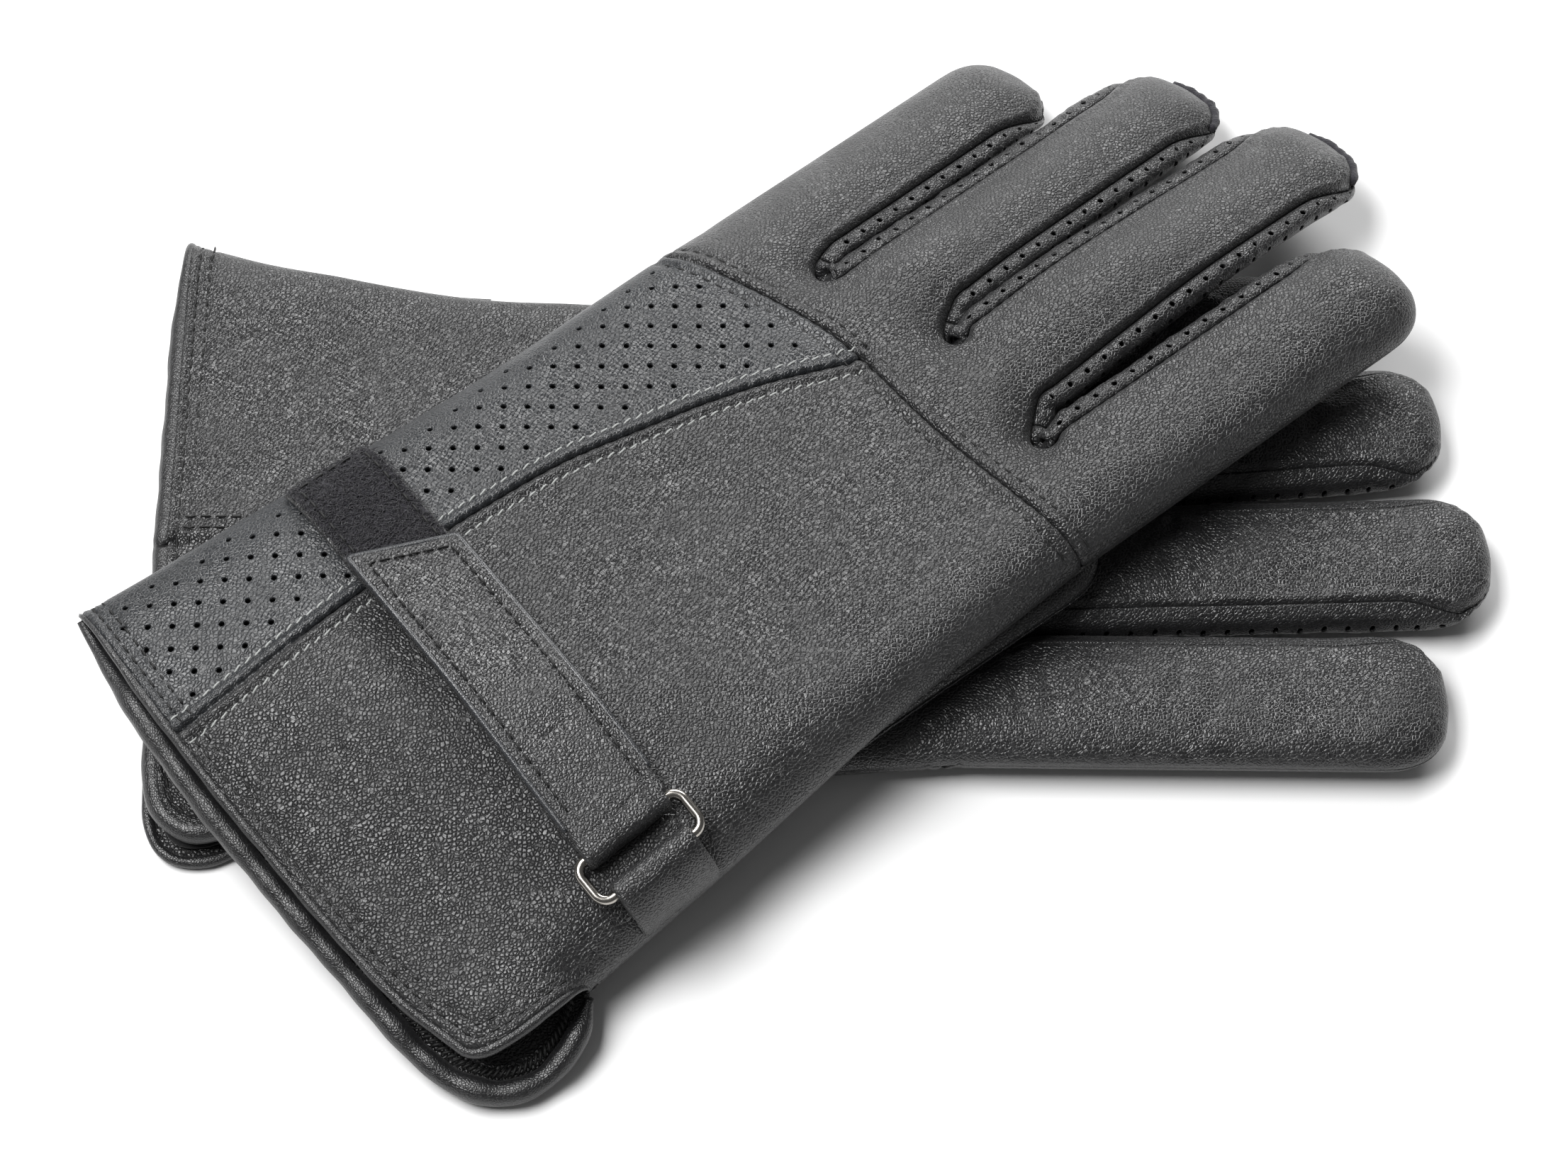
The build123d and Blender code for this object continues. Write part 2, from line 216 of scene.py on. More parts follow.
def nearest(points, line, closed=False):
    """Distance from each point to a line, and how far along the line the nearest place is.

    The nearest of every third corner is found first, then the nearest of the runs round it."""
    if closed:
        line = np.vstack([line, line[:1]])
    a, d = line[:-1], np.diff(line, axis=0)
    length = np.linalg.norm(d, axis=1)
    start = np.concatenate([[0], np.cumsum(length)])[:-1]
    coarse = np.arange(0, len(line), 3)
    corners = line[coarse]
    runs = len(a)
    around = np.arange(-4, 4)
    best, where = np.empty(len(points)), np.empty(len(points))
    for k in range(0, len(points), 8000):
        q = points[k : k + 8000]
        near = ((q[:, None, 0] - corners[:, 0]) ** 2 + (q[:, None, 1] - corners[:, 1]) ** 2).argmin(1)
        index = coarse[near][:, None] + around
        index = index % runs if closed else np.clip(index, 0, runs - 1)
        p = q[:, None] - a[index]
        t = np.clip((p * d[index]).sum(2) / np.maximum(length[index] ** 2, 1e-12), 0, 1)
        gap = ((p - t[..., None] * d[index]) ** 2).sum(2)
        i = gap.argmin(1)
        rows = np.arange(len(i))
        best[k : k + 8000] = np.sqrt(gap[rows, i])
        run = index[rows, i]
        where[k : k + 8000] = start[run] + t[rows, i] * length[run]
    return best, where


def inside(points, ring):
    """Whether each point is inside a closed outline."""
    result = np.zeros(len(points), bool)
    a, b = ring, np.roll(ring, -1, axis=0)
    for k in range(0, len(points), 4000):
        x, y = points[k : k + 4000, 0:1], points[k : k + 4000, 1:2]
        crosses = (a[:, 1] > y) != (b[:, 1] > y)
        rise = np.where(b[:, 1] == a[:, 1], 1e-12, b[:, 1] - a[:, 1])
        at = a[:, 0] + (y - a[:, 1]) * (b[:, 0] - a[:, 0]) / rise
        result[k : k + 4000] = (crosses & (x < at)).sum(1) % 2 == 1
    return result


def side_normals(line, closed=False):
    """Unit normals to the left of a 2-D line."""
    if closed:
        ahead, behind = np.roll(line, -1, axis=0), np.roll(line, 1, axis=0)
    else:
        ahead = np.vstack([line[1:], 2 * line[-1:] - line[-2:-1]])
        behind = np.vstack([2 * line[:1] - line[1:2], line[:-1]])
    d = ahead - behind
    d /= np.maximum(np.linalg.norm(d, axis=1, keepdims=True), 1e-9)
    return np.stack([-d[:, 1], d[:, 0]], axis=1)


def runs_anticlockwise(ring):
    return (ring[:, 0] * np.roll(ring[:, 1], -1) - np.roll(ring[:, 0], -1) * ring[:, 1]).sum() > 0


def distance_to_spots(points, spots):
    """Distance from each point to the nearest spot."""
    found = np.empty(len(points))
    for k in range(0, len(points), 4000):
        gap = points[k : k + 4000, None] - spots[None]
        found[k : k + 4000] = np.sqrt((gap**2).sum(2)).min(1)
    return found


# ---------------------------------------------------------------- where each glove lies
def joint(name):
    return next(j for j in frame["joints"] if j["name"] == name)


def above_floor(z):
    """Levels under PRESSED_LEVEL are pressed together, so that nothing sinks into the floor."""
    pressed = PRESSED_LEVEL * np.exp((z - PRESSED_LEVEL) / PRESSED_LEVEL)
    return np.where(z < PRESSED_LEVEL, pressed, z)


class Place:
    """How one glove's pattern lies in the row frame. The ring's hinge fixes its place and turn."""

    def __init__(self, side):
        self.side, self.up = side, side == "left"
        self.thickness = LEFT_THICKNESS if self.up else RIGHT_THICKNESS
        hinge = joint(f"{side}_ring_swing")
        axis = np.array(hinge["axis"][:2]) * (1 if self.up else -1)
        turn = math.atan2(axis[1], axis[0])
        self.turn = np.array([[math.cos(turn), -math.sin(turn)], [math.sin(turn), math.cos(turn)]])
        at = np.array(hinge["pos_m"][:2]) / MM
        self.origin = at - self.turn @ np.array([RING_U, KEEPER_V])
        self.body = f"{side}_glove"

    def base(self, xy):
        if self.up:
            fall = CUFF_SLOPE * soft_ramp(PLATEAU_LOW_Y - xy[:, 1])
            return LEFT_PLATEAU - fall - FINGER_SLOPE * soft_ramp(xy[:, 1] - PLATEAU_HIGH_Y)
        a, b, c, d = STRAP_RISE
        x = xy[:, 0]
        return STRAP_STACK * smoothstep((x - a) / (b - a)) * smoothstep((d - x) / (d - c))

    def world(self, uv, h):
        uv, h = np.asarray(uv, float).reshape(-1, 2), np.asarray(h, float).ravel()
        xy = uv @ self.turn.T + self.origin
        base = self.base(xy)
        if self.up:
            z = base + h
        else:
            below, beyond = np.minimum(h, 0), np.maximum(h - self.thickness, 0)
            squeezed = (h - below - beyond) * (self.thickness - base) / self.thickness
            z = above_floor(self.thickness - below - squeezed - beyond)
        return np.column_stack([xy, z]) * MM


PLACES = {side: Place(side) for side in ("right", "left")}


# ---------------------------------------------------------------- the pattern's outlines
def finger_side(finger, sign, margin, start=0.0):
    """One side of a finger from the root to the middle of its tip."""
    root, tip, half = np.array(finger[0], float), np.array(finger[1], float), finger[2]
    along = tip - root
    length = np.linalg.norm(along)
    along /= length
    side = np.array([-along[1], along[0]]) * sign
    round_tip = length - half * (1 - np.linspace(0, 1, 13) ** 0.6)
    a = np.concatenate([np.arange(start, length - half, 4.0), round_tip])
    rounding = np.clip((a - (length - half)) / half, 0, 1)
    wide = half * (1 - rounding**2.5) ** (1 / 2.5)
    taper = margin * (1 - smoothstep((a - (length - 1.5 * half)) / (1.1 * half)))
    return root + a[:, None] * along + np.maximum(wide - taper, 0)[:, None] * side


def fingers_line(side, strip_margin, crotch_shift):
    """From the little finger's outer root, round all four fingers, to the index finger's outer root."""
    points = []
    round_off = 1.3 + 0.95 * strip_margin
    turn = np.radians([118, 150, 180, 210, 242])
    fingers = FINGERS[side]
    for number, finger in enumerate(fingers):
        roots = [CROTCHES[k][0] - finger[0][0] + round_off + 2.5 for k in range(3)]
        start = 6.0 if number == 0 else roots[number - 1]
        stop = 12.0 if number == 3 else roots[number]
        outer = finger_side(finger, 1, strip_margin if finger[3] else 0.0, start)
        inner = finger_side(finger, -1, strip_margin if finger[4] else 0.0, stop)
        points += [outer, inner[-2::-1]]
        if number < 3:
            middle = np.array(CROTCHES[number]) + (round_off + crotch_shift, 0)
            points.append(middle + round_off * np.column_stack([np.cos(turn), np.sin(turn)]))
    return curve_through(np.vstack(points), OUTLINE_STEP)


def cuff_line(side, face):
    return curve_through(CUFF_EDGE[side, face], OUTLINE_STEP)


def whole_outline(side, face, strip_margin=0.0, crotch_shift=0.0):
    """The closed outline of a whole back or palm."""
    ulnar = curve_through(ULNAR_SIDE[side])
    radial = curve_through(RADIAL_SIDE[side][::-1])
    fingers = fingers_line(side, strip_margin, crotch_shift)
    around = np.vstack([ulnar[:-1], fingers, radial[:-1], cuff_line(side, face)[:0:-1]])
    return resample(around, OUTLINE_STEP, True)


def inset_outline(outline, depth):
    """A closed outline, moved inwards."""
    inwards = 1 if runs_anticlockwise(outline) else -1
    moved = outline + side_normals(outline, True) * depth * inwards
    return resample(moved[nearest(moved, outline, True)[0] > 0.96 * depth], 1.5, True)


# the sides and fingers, without the cuff: the leather rounds down towards this line
SILHOUETTE = {
    side: np.vstack([
        curve_through(ULNAR_SIDE[side]),
        fingers_line(side, 0.0, 0.0),
        curve_through(RADIAL_SIDE[side][::-1]),
    ])
    for side in PLACES
}


def crown(distance, radius):
    """A quarter round from 0 at the edge to 1 at the radius."""
    return np.sqrt(1 - (1 - np.clip(distance / radius, 0, 1)) ** 2)


def finger_creases(uv):
    """Soft grooves across the fingers, where they bend."""
    total = np.zeros(len(uv))
    for number, (root, tip, half, _, _) in enumerate(FINGERS["right"]):
        root, tip = np.array(root, float), np.array(tip, float)
        along = (tip - root) / np.linalg.norm(tip - root)
        a = (uv - root) @ along
        across = (uv - root) @ np.array([-along[1], along[0]])
        near = smoothstep((half + 2 - np.abs(across)) / 4)
        wobble = 2.2 * noise(uv, 15, 60 + number, 2)
        for k, (at, depth) in enumerate(CREASES):
            bend = 0.02 * across**2 * (-1) ** k
            total += near * depth * np.exp(-(((a - at - bend + wobble) / 1.7) ** 2))
    return total


def skin_height(uv, place, face):
    """Height of the leather's outer face, before seams: 'back' or 'palm'."""
    side = place.side
    distance, _ = nearest(uv, SILHOUETTE[side])
    narrow, thickness = CUFF_THICKNESS[side], place.thickness
    full = narrow + (thickness - narrow) * smoothstep((uv[:, 0] + 4) / CUFF_TAPER)
    seam = SEAM_HEIGHT[side] * full / thickness
    calm = smoothstep(distance / 6)
    sag = (0.55 * noise(uv, 46, 3) + 0.2 * noise(uv, 13, 11)) * calm
    if face == "back":
        by_strap = np.exp(-(((uv[:, 0] - RING_U) / 15) ** 4))
        vent = 2.4 * np.exp(-(((uv[:, 0] - 12) / 13) ** 2) - ((uv[:, 1] + 60) / 15) ** 2) if place.up else 0
        top = seam + (full - 0.3 - seam) * crown(distance, SIDE_RADIUS)
        return top + sag * (1 - 0.85 * by_strap) + vent
    on_finger = smoothstep((uv[:, 0] - 150) / 40)
    rough = 0.3 * np.abs(noise(uv, 9, 29)) * calm * on_finger
    corner = smoothstep((-uv[:, 1] - 35) / 35) * smoothstep((48 - uv[:, 0]) / 40)
    droop = (-1.2 if place.up else 4.5) * corner
    lap = smoothstep((uv[:, 1] - LAP_V) / 0.7) * np.exp(-(((uv[:, 1] - LAP_V) / 22) ** 2))
    lap = lap * smoothstep((LAP_END_U - uv[:, 0]) / 14) * (0 if place.up else 1.2)
    round_off = seam * (1 - crown(distance, PALM_RADIUS[side]))
    return round_off + np.abs(sag) * 0.8 + rough - lap + finger_creases(uv) * calm + droop


def edge_profile(distance, stitched):
    """How a panel's edge turns down at a seam, with a bead behind it and a groove under each stitch line."""
    inner = np.clip(ROLL_RADIUS - distance, 0, ROLL_RADIUS)
    drop = ROLL_RADIUS - np.sqrt(ROLL_RADIUS**2 - inner**2)
    bead = 0.4 * np.exp(-(((distance - 1.35) / 0.8) ** 2))
    groove = sum(0.6 * np.exp(-(((distance - d) / 0.5) ** 2)) for d in stitched)
    return bead - 0.9 * drop - groove


# ---------------------------------------------------------------- meshes
RINGS = (0.12, 0.4, 0.8, 1.3, 1.9, 2.6, 3.4)   # depths of the rows of points inside an edge
PANEL_SPACING = 1.25


def hex_grid(low, high, spacing):
    rows = np.arange(low[1], high[1], spacing * 0.866)
    cols = np.arange(low[0], high[0], spacing)
    x, y = np.meshgrid(cols, rows)
    x[1::2] += spacing / 2
    return np.column_stack([x.ravel(), y.ravel()])


def flat_mesh(outline, spacing, holes=(), rings=RINGS):
    """Triangles that fill a closed outline, finer near its edge, with round holes left open."""
    holes = np.array(holes, float).reshape(-1, 2)
    if not runs_anticlockwise(outline):
        outline = outline[::-1]
    normal = side_normals(outline, True)
    extra = []
    for depth in rings:
        p = outline + normal * depth
        extra.append(p[nearest(p, outline, True)[0] > 0.94 * depth])
    grid = hex_grid(outline.min(0), outline.max(0), spacing)
    grid = grid[inside(grid, outline)]
    grid = grid[nearest(grid, outline, True)[0] > (rings[-1] if rings else 0) + 0.55 * spacing]
    extra.append(grid)
    extra = np.vstack(extra)
    circles = []
    if len(holes):
        extra = extra[distance_to_spots(extra, holes) > 2.0 * HOLE_RADIUS]
        turn = np.linspace(0, 2 * math.pi, HOLE_CORNERS, endpoint=False)
        round_points = np.column_stack([np.cos(turn), np.sin(turn)])
        circles = [c + HOLE_RADIUS * round_points for c in holes]
        extra = np.vstack([extra] + [c + 1.45 * HOLE_RADIUS * round_points for c in holes])
    count = len(outline)
    points = np.vstack([outline, *circles, extra])
    edges = [(i, (i + 1) % count) for i in range(count)]
    for k in range(len(circles)):
        first = count + HOLE_CORNERS * k
        edges += [(first + i, first + (i + 1) % HOLE_CORNERS) for i in range(HOLE_CORNERS)]
    made = delaunay_2d_cdt([Vector(p) for p in points], edges, [list(range(count))], 1, 1e-5)
    flat = np.array([tuple(v) for v in made[0]])
    faces = np.array(made[2])
    if len(holes):
        faces = faces[distance_to_spots(flat[faces].mean(1), holes) > 0.9 * HOLE_RADIUS]
    area = np.cross(flat[faces[:, 1]] - flat[faces[:, 0]], flat[faces[:, 2]] - flat[faces[:, 0]])
    faces[area < 0] = faces[area < 0][:, ::-1]
    used, faces = np.unique(faces, return_inverse=True)
    return flat[used], faces.reshape(-1, 3)


def point_normals(points, faces):
    normal = np.zeros_like(points)
    cross = np.cross(points[faces[:, 1]] - points[faces[:, 0]], points[faces[:, 2]] - points[faces[:, 0]])
    for k in range(3):
        np.add.at(normal, faces[:, k], cross)
    return normal / np.maximum(np.linalg.norm(normal, axis=1, keepdims=True), 1e-15)


def new_object(name, points, faces, material, body, slot):
    mesh = bpy.data.meshes.new(name)
    mesh.from_pydata(points.tolist(), [], faces)
    mesh.shade_smooth()
    mesh.update()
    made = bpy.data.objects.new(name, mesh)
    bpy.context.scene.collection.objects.link(made)
    made.data.materials.append(material)
    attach(made, body)
    return made


def closed_between(top, below, faces):
    """A closed solid: one sheet, the matching sheet under it, and walls along every open edge."""
    count = len(top)
    directed = np.vstack([faces[:, [0, 1]], faces[:, [1, 2]], faces[:, [2, 0]]])
    key = directed[:, 0].astype(np.int64) * count + directed[:, 1]
    back = directed[:, 1].astype(np.int64) * count + directed[:, 0]
    rim = directed[~np.isin(key, back)]
    walls = np.column_stack([rim[:, 1], rim[:, 0], rim[:, 0] + count, rim[:, 1] + count])
    return np.vstack([top, below]), faces.tolist() + (faces[:, ::-1] + count).tolist() + walls.tolist()


def thicken(points, faces, thickness):
    return closed_between(points, points - point_normals(points, faces) * thickness * MM, faces)


def grid_faces(rows, columns):
    """Triangles over a grid of points, row by row."""
    i = (np.arange(rows - 1)[:, None] * columns + np.arange(columns - 1)[None]).ravel()
    above = i + columns
    return np.vstack([np.column_stack([i, i + 1, above + 1]), np.column_stack([i, above + 1, above])])


def sheet(place, uv, faces, h, face, thickness):
    """A closed sheet from flat triangles and heights. Its outer face is the one given."""
    if (face == "back") != place.up:
        faces = faces[:, ::-1]
    return thicken(place.world(uv, h), faces, thickness)


def tubes(paths, radii, sides):
    """Closed tubes along many paths: paths (count, steps, 3) in metres, radii (count, steps) in mm."""
    count, steps = paths.shape[:2]
    ahead = np.gradient(paths, axis=1)
    ahead /= np.maximum(np.linalg.norm(ahead, axis=2, keepdims=True), 1e-12)
    first = np.cross(ahead, (0.0, 0.02, 1.0))
    first /= np.maximum(np.linalg.norm(first, axis=2, keepdims=True), 1e-9)
    second = np.cross(ahead, first)
    turn = np.linspace(0, 2 * math.pi, sides, endpoint=False)[None, None, :, None]
    ring = np.cos(turn) * first[:, :, None] + np.sin(turn) * second[:, :, None]
    points = paths[:, :, None] + ring * (radii * MM)[:, :, None, None]
    index = np.arange(count * steps * sides).reshape(count, steps, sides)
    beside = np.roll(index, -1, axis=2)
    wall = np.stack([index[:, :-1], beside[:, :-1], beside[:, 1:], index[:, 1:]], axis=-1).reshape(-1, 4)
    ends = np.vstack([index[:, 0, ::-1], index[:, -1]])
    return points.reshape(-1, 3), wall.tolist() + ends.tolist()


def joined(parts):
    """Several (points, faces) as one."""
    points, faces, offset = [], [], 0
    for p, f in parts:
        points.append(p)
        faces += [[i + offset for i in face] for face in f]
        offset += len(p)
    return np.vstack(points), faces


# ---------------------------------------------------------------- materials
class Surface:
    """A material being made. Its textures follow the object's own coordinates."""

    def __init__(self, name, **values):
        self.material = bpy.data.materials.new(name)
        self.material.use_nodes = True
        self.nodes, self.links = self.material.node_tree.nodes, self.material.node_tree.links
        self.shader = self.nodes["Principled BSDF"]
        self.where = self.nodes.new("ShaderNodeTexCoord").outputs["Object"]
        for key, value in values.items():
            self.shader.inputs[key.replace("_", " ")].default_value = value

    def feed(self, **outputs):
        for key, output in outputs.items():
            self.links.new(output, self.shader.inputs[key.replace("_", " ")])

    def noise(self, scale, detail):
        node = self.nodes.new("ShaderNodeTexNoise")
        node.inputs["Scale"].default_value = scale
        node.inputs["Detail"].default_value = detail
        self.links.new(self.where, node.inputs["Vector"])
        return node

    def vector_math(self, operation, first):
        node = self.nodes.new("ShaderNodeVectorMath")
        node.operation = operation
        self.links.new(first, node.inputs[0])
        return node

    def ranged(self, source, low, high, to_low, to_high):
        node = self.nodes.new("ShaderNodeMapRange")
        for key, value in (("From Min", low), ("From Max", high), ("To Min", to_low), ("To Max", to_high)):
            node.inputs[key].default_value = value
        self.links.new(source, node.inputs["Value"])
        return node.outputs["Result"]

    def bump(self, height, distance, below=None, invert=False):
        """Relief from a height output. distance is its depth (mm), below the relief it lies on."""
        node = self.nodes.new("ShaderNodeBump")
        node.invert = invert
        node.inputs["Distance"].default_value = distance * MM
        self.links.new(height, node.inputs["Height"])
        if below:
            self.links.new(below, node.inputs["Normal"])
        return node.outputs["Normal"]

    def blend(self, first, second, share):
        node = self.nodes.new("ShaderNodeMix")
        node.data_type = "RGBA"
        node.inputs["A"].default_value = (*first, 1)
        node.inputs["B"].default_value = (*second, 1)
        self.links.new(share, node.inputs["Factor"])
        return node.outputs["Result"]

    def creases(self, grain):
        """1 in the creases between pebbles of a width (mm), 0 on the pebbles. Noise bends the creases."""
        push = self.vector_math("MULTIPLY_ADD", self.noise(600, 2).outputs["Color"])
        push.inputs[1].default_value = (0.7 * MM * grain,) * 3
        self.links.new(self.where, push.inputs[2])
        cells = self.nodes.new("ShaderNodeTexVoronoi")
        cells.feature = "DISTANCE_TO_EDGE"
        cells.inputs["Scale"].default_value = 1 / (grain * MM)
        cells.inputs["Randomness"].default_value = 0.85
        self.links.new(push.outputs["Vector"], cells.inputs["Vector"])
        crease = self.nodes.new("ShaderNodeMath")
        crease.operation = "POWER"
        crease.inputs[1].default_value = 2.2
        self.links.new(self.ranged(cells.outputs["Distance"], 0.0, 0.42, 1.0, 0.0), crease.inputs[0])
        return crease.outputs["Value"]


def leather_material(name, colour, rough, grain, depth, wrinkle):
    """Dark leather: grain is a pebble's width, depth its creases', wrinkle the softer folds' (mm)."""
    made = Surface(name, Specular_IOR_Level=0.68, Sheen_Weight=0.05, Sheen_Roughness=0.5)
    crease = made.creases(grain)
    normal = made.bump(made.noise(230, 3).outputs["Fac"], wrinkle)
    normal = made.bump(crease, depth, normal, invert=True)
    normal = made.bump(made.noise(3200, 2).outputs["Fac"], 0.02, normal)
    # painted shade: the colour falls to 0.35 of itself in the creases between the pebbles; the patches below
    # vary the tone at random
    shade = made.vector_math("SCALE", made.blend(colour, [c * 0.35 for c in colour], crease))
    patches = made.ranged(made.noise(26, 5).outputs["Fac"], 0.3, 0.7, 0.8, 1.25)
    made.links.new(patches, shade.inputs["Scale"])
    dull = made.ranged(made.noise(90, 4).outputs["Fac"], 0.35, 0.65, rough - 0.05, rough + 0.06)
    made.feed(Normal=normal, Base_Color=shade.outputs["Vector"], Roughness=dull)
    return made.material


def cloth_material(name, colour, rough, scale, depth, sheen=0.3):
    """Thread, pile or knit: a dull fibrous surface."""
    made = Surface(name, Roughness=rough, Sheen_Weight=sheen)
    grain = made.noise(scale, 3).outputs["Fac"]
    # darker where the weave's relief is low, lighter where it is high: partly painted shade in the hollows,
    # partly the fibres' own uneven tone
    mix = made.blend([c * 0.55 for c in colour], [min(1, c * 1.35) for c in colour], grain)
    made.feed(Base_Color=mix, Normal=made.bump(grain, depth))
    return made.material


def metal_material(name, colour):
    """Nickel-plated wire, with faint drawing marks."""
    made = Surface(name, Base_Color=(*colour, 1), Metallic=1.0)
    made.feed(Roughness=made.ranged(made.noise(900, 4).outputs["Fac"], 0.0, 1.0, 0.14, 0.32))
    return made.material


# colour, roughness, then the grain's width, its depth and the folds' depth
BACK = leather_material("back_leather", (0.013, 0.013, 0.014), 0.40, 0.8, 0.12, 0.25)
PALM = leather_material("palm_leather", (0.010, 0.010, 0.011), 0.37, 0.75, 0.11, 0.38)
STRIP = leather_material("strip_leather", (0.009, 0.009, 0.010), 0.37, 0.7, 0.1, 0.4)
PERFORATED = leather_material("perforated_leather", (0.011, 0.013, 0.016), 0.41, 0.8, 0.08, 0.2)
STRAP = leather_material("strap_leather", (0.013, 0.013, 0.014), 0.36, 0.72, 0.09, 0.15)
EDGE = leather_material("edge_leather", (0.010, 0.010, 0.011), 0.38, 0.6, 0.05, 0.12)
PAINTED_EDGE = leather_material("painted_edge", (0.016, 0.018, 0.022), 0.3, 0.5, 0.03, 0.1)
# colour, roughness, the weave's scale and depth, and sheen
BLACK_THREAD = cloth_material("black_thread", (0.004, 0.004, 0.004), 0.65, 5000, 0.05, 0.0)
PALE_THREAD = cloth_material("pale_thread", (0.33, 0.34, 0.33), 0.6, 5000, 0.08)
LINING = cloth_material("lining_cloth", (0.010, 0.010, 0.011), 0.9, 1800, 0.2)
PILE = cloth_material("loop_pile", (0.013, 0.012, 0.017), 0.9, 2400, 0.3, 0.2)
HOOKS = cloth_material("hook_tape", (0.016, 0.016, 0.018), 0.8, 2600, 0.25, 0.3)
METAL = metal_material("ring_nickel", (0.40, 0.38, 0.35))


# ---------------------------------------------------------------- the lines that the leather is sewn along
PERFORATED_LINE = curve_through(PERFORATED_SEAM)
KNUCKLE_LINE = curve_through(KNUCKLE_SEAM)
SEAM_ROWS = (STITCH_INSET,)


def gap_lines(side, margin, shift):
    """For each gap between fingers, the U-shaped line from one fingertip round the crotch to the next."""
    line = fingers_line(side, margin, shift)
    tips = [int(np.argmin(((line - np.array(f[1])) ** 2).sum(1))) for f in FINGERS[side]]
    return [line[a + 9 : b - 9] for a, b in zip(tips[:-1], tips[1:])]


BACK_GAPS = {side: gap_lines(side, STRIP_MARGIN, 0.0) for side in PLACES}
SEAMS = {}
for side in PLACES:
    SEAMS[side, "back"] = [(PERFORATED_LINE, SEAM_ROWS), (KNUCKLE_LINE, SEAM_ROWS)]
    SEAMS[side, "back"] += [(cuff_line(side, "back"), HEM_ROWS)]
    SEAMS[side, "back"] += [(line, ()) for line in BACK_GAPS[side]]
    SEAMS[side, "palm"] = [(cuff_line(side, "palm"), HEM_ROWS)]
    SEAMS[side, "palm"] += [(line, ()) for line in gap_lines(side, PALM_MARGIN[side], 0.6)]


def leather_height(uv, place, face):
    """Height of the leather's outer face with its rolled seams, stitch grooves and puckers."""
    outward = 1 if face == "back" else -1
    h = skin_height(uv, place, face)
    for line, rows in SEAMS[place.side, face]:
        distance, along = nearest(uv, line)
        pucker = 1 + 0.35 * np.cos(along * 2 * math.pi / PUCKER_PITCH) * (distance < 5)
        h = h + outward * edge_profile(distance, rows) * pucker
    return h


def clip_outline(outline, line, side):
    """What is left of an outline's area on one side of a line that crosses it: +1 keeps the line's left."""
    line = line[inside(line, outline)]
    closing = line[::-1] if side > 0 else line
    ends = [nearest(closing[[k]], outline, True)[1][0] for k in (0, -1)]
    size = np.linalg.norm(outline - np.roll(outline, -1, axis=0), axis=1)
    along = np.concatenate([[0], np.cumsum(size)])[:-1]
    total = size.sum()
    from_end = (along - ends[1]) % total
    order = np.argsort(from_end)
    rest = outline[order][np.sort(from_end) < (ends[0] - ends[1]) % total]
    return resample(np.vstack([closing, rest]), OUTLINE_STEP, True)


def lattice(outline, pitch, turn, clear):
    """Hole middles on a square lattice inside an outline."""
    low, high = outline.min(0) - 60, outline.max(0) + 60
    x, y = np.meshgrid(np.arange(low[0], high[0], pitch), np.arange(low[1], high[1], pitch))
    p = np.column_stack([x.ravel(), y.ravel()])
    middle = outline.mean(0)
    c, s = math.cos(turn), math.sin(turn)
    p = (p - middle) @ np.array([[c, s], [-s, c]]) + middle
    p = p[inside(p, outline)]
    return p[nearest(p, outline, True)[0] > clear]


# ---------------------------------------------------------------- panels
def panel(name, place, outline, material, slot, face="back", holes=()):
    """One leather panel, finer where it shows."""
    seen = place.up == (face == "back")
    spacing, rings = (PANEL_SPACING, RINGS) if seen else (2 * PANEL_SPACING, RINGS[::2])
    uv, faces = flat_mesh(outline, spacing, holes, rings)
    solid = sheet(place, uv, faces, leather_height(uv, place, face), face, LEATHER)
    return new_object(name, *solid, material, place.body, slot)


def build_back(place):
    """The plain back, the perforated panel and the backs of the fingers."""
    side = place.side
    whole = whole_outline(side, "back", STRIP_MARGIN)
    knuckle = curve_through([(138.5, 60), *KNUCKLE_SEAM, (160.5, -58)])
    perforated = curve_through([(-8, 29.3), *PERFORATED_SEAM])
    hand, fingers = (clip_outline(whole, knuckle, sign) for sign in (-1, 1))
    plain, holed = (clip_outline(hand, perforated, sign) for sign in (-1, 1))
    made = panel(f"{side}_back_leather", place, plain, BACK, "back_leather")
    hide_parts(f"{side}_back_panel")
    holes = lattice(holed, HOLE_PITCH, HOLE_TURN[side], HOLE_MARGIN)
    made = panel(f"{side}_perforated_leather", place, holed, PERFORATED, "perforated_leather", holes=holes)
    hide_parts(f"{side}_perforated_panel")
    made = panel(f"{side}_finger_leather", place, fingers, BACK, "back_leather")
    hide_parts(f"{side}_finger_backs")


def build_palm(place):
    outline = whole_outline(place.side, "palm", PALM_MARGIN[place.side], 0.6)
    made = panel(f"{place.side}_palm_leather", place, outline, PALM, "palm_leather", "palm")
    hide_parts(f"{place.side}_palm_panel")


def build_hems(place):
    """The rolled edges of the cuff: thin on the back, broad on the palm, where the raw edge is overcast."""
    side = place.side
    for face in ("back", "palm"):
        line = cuff_line(side, face)[1:-1]
        outward = 1 if face == "back" else -1
        step = np.arange(len(line))
        wobble = 1 + 0.04 * np.sin(step * 0.61) + 0.05 * np.sin(step * 0.23 + 1)
        ends = smoothstep(np.minimum(step / 28, step[::-1] / 9))
        radii = HEM_RADIUS[face] * wobble * (0.4 + 0.6 * ends)
        h = skin_height(line, place, face) - outward * (radii - 0.1)
        points, faces = tubes(place.world(line, h)[None], radii[None], 14)
        made = new_object(f"{side}_{face}_hem", points, faces, EDGE, place.body, "edge_leather")
        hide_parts(f"{side}_{face}_cuff_binding")
    row = resample(line + side_normals(line) * OVERCAST_INSET, OUTLINE_STEP)

    def height(uv):
        return skin_height(uv, place, "palm") + OVERCAST_INSET

    zigzag = stitches(place, row, height, OVERCAST_STITCH, OVERCAST_SLANT)
    new_object(f"{side}_palm_overcast", *zigzag, BLACK_THREAD, place.body, "lining_cloth")


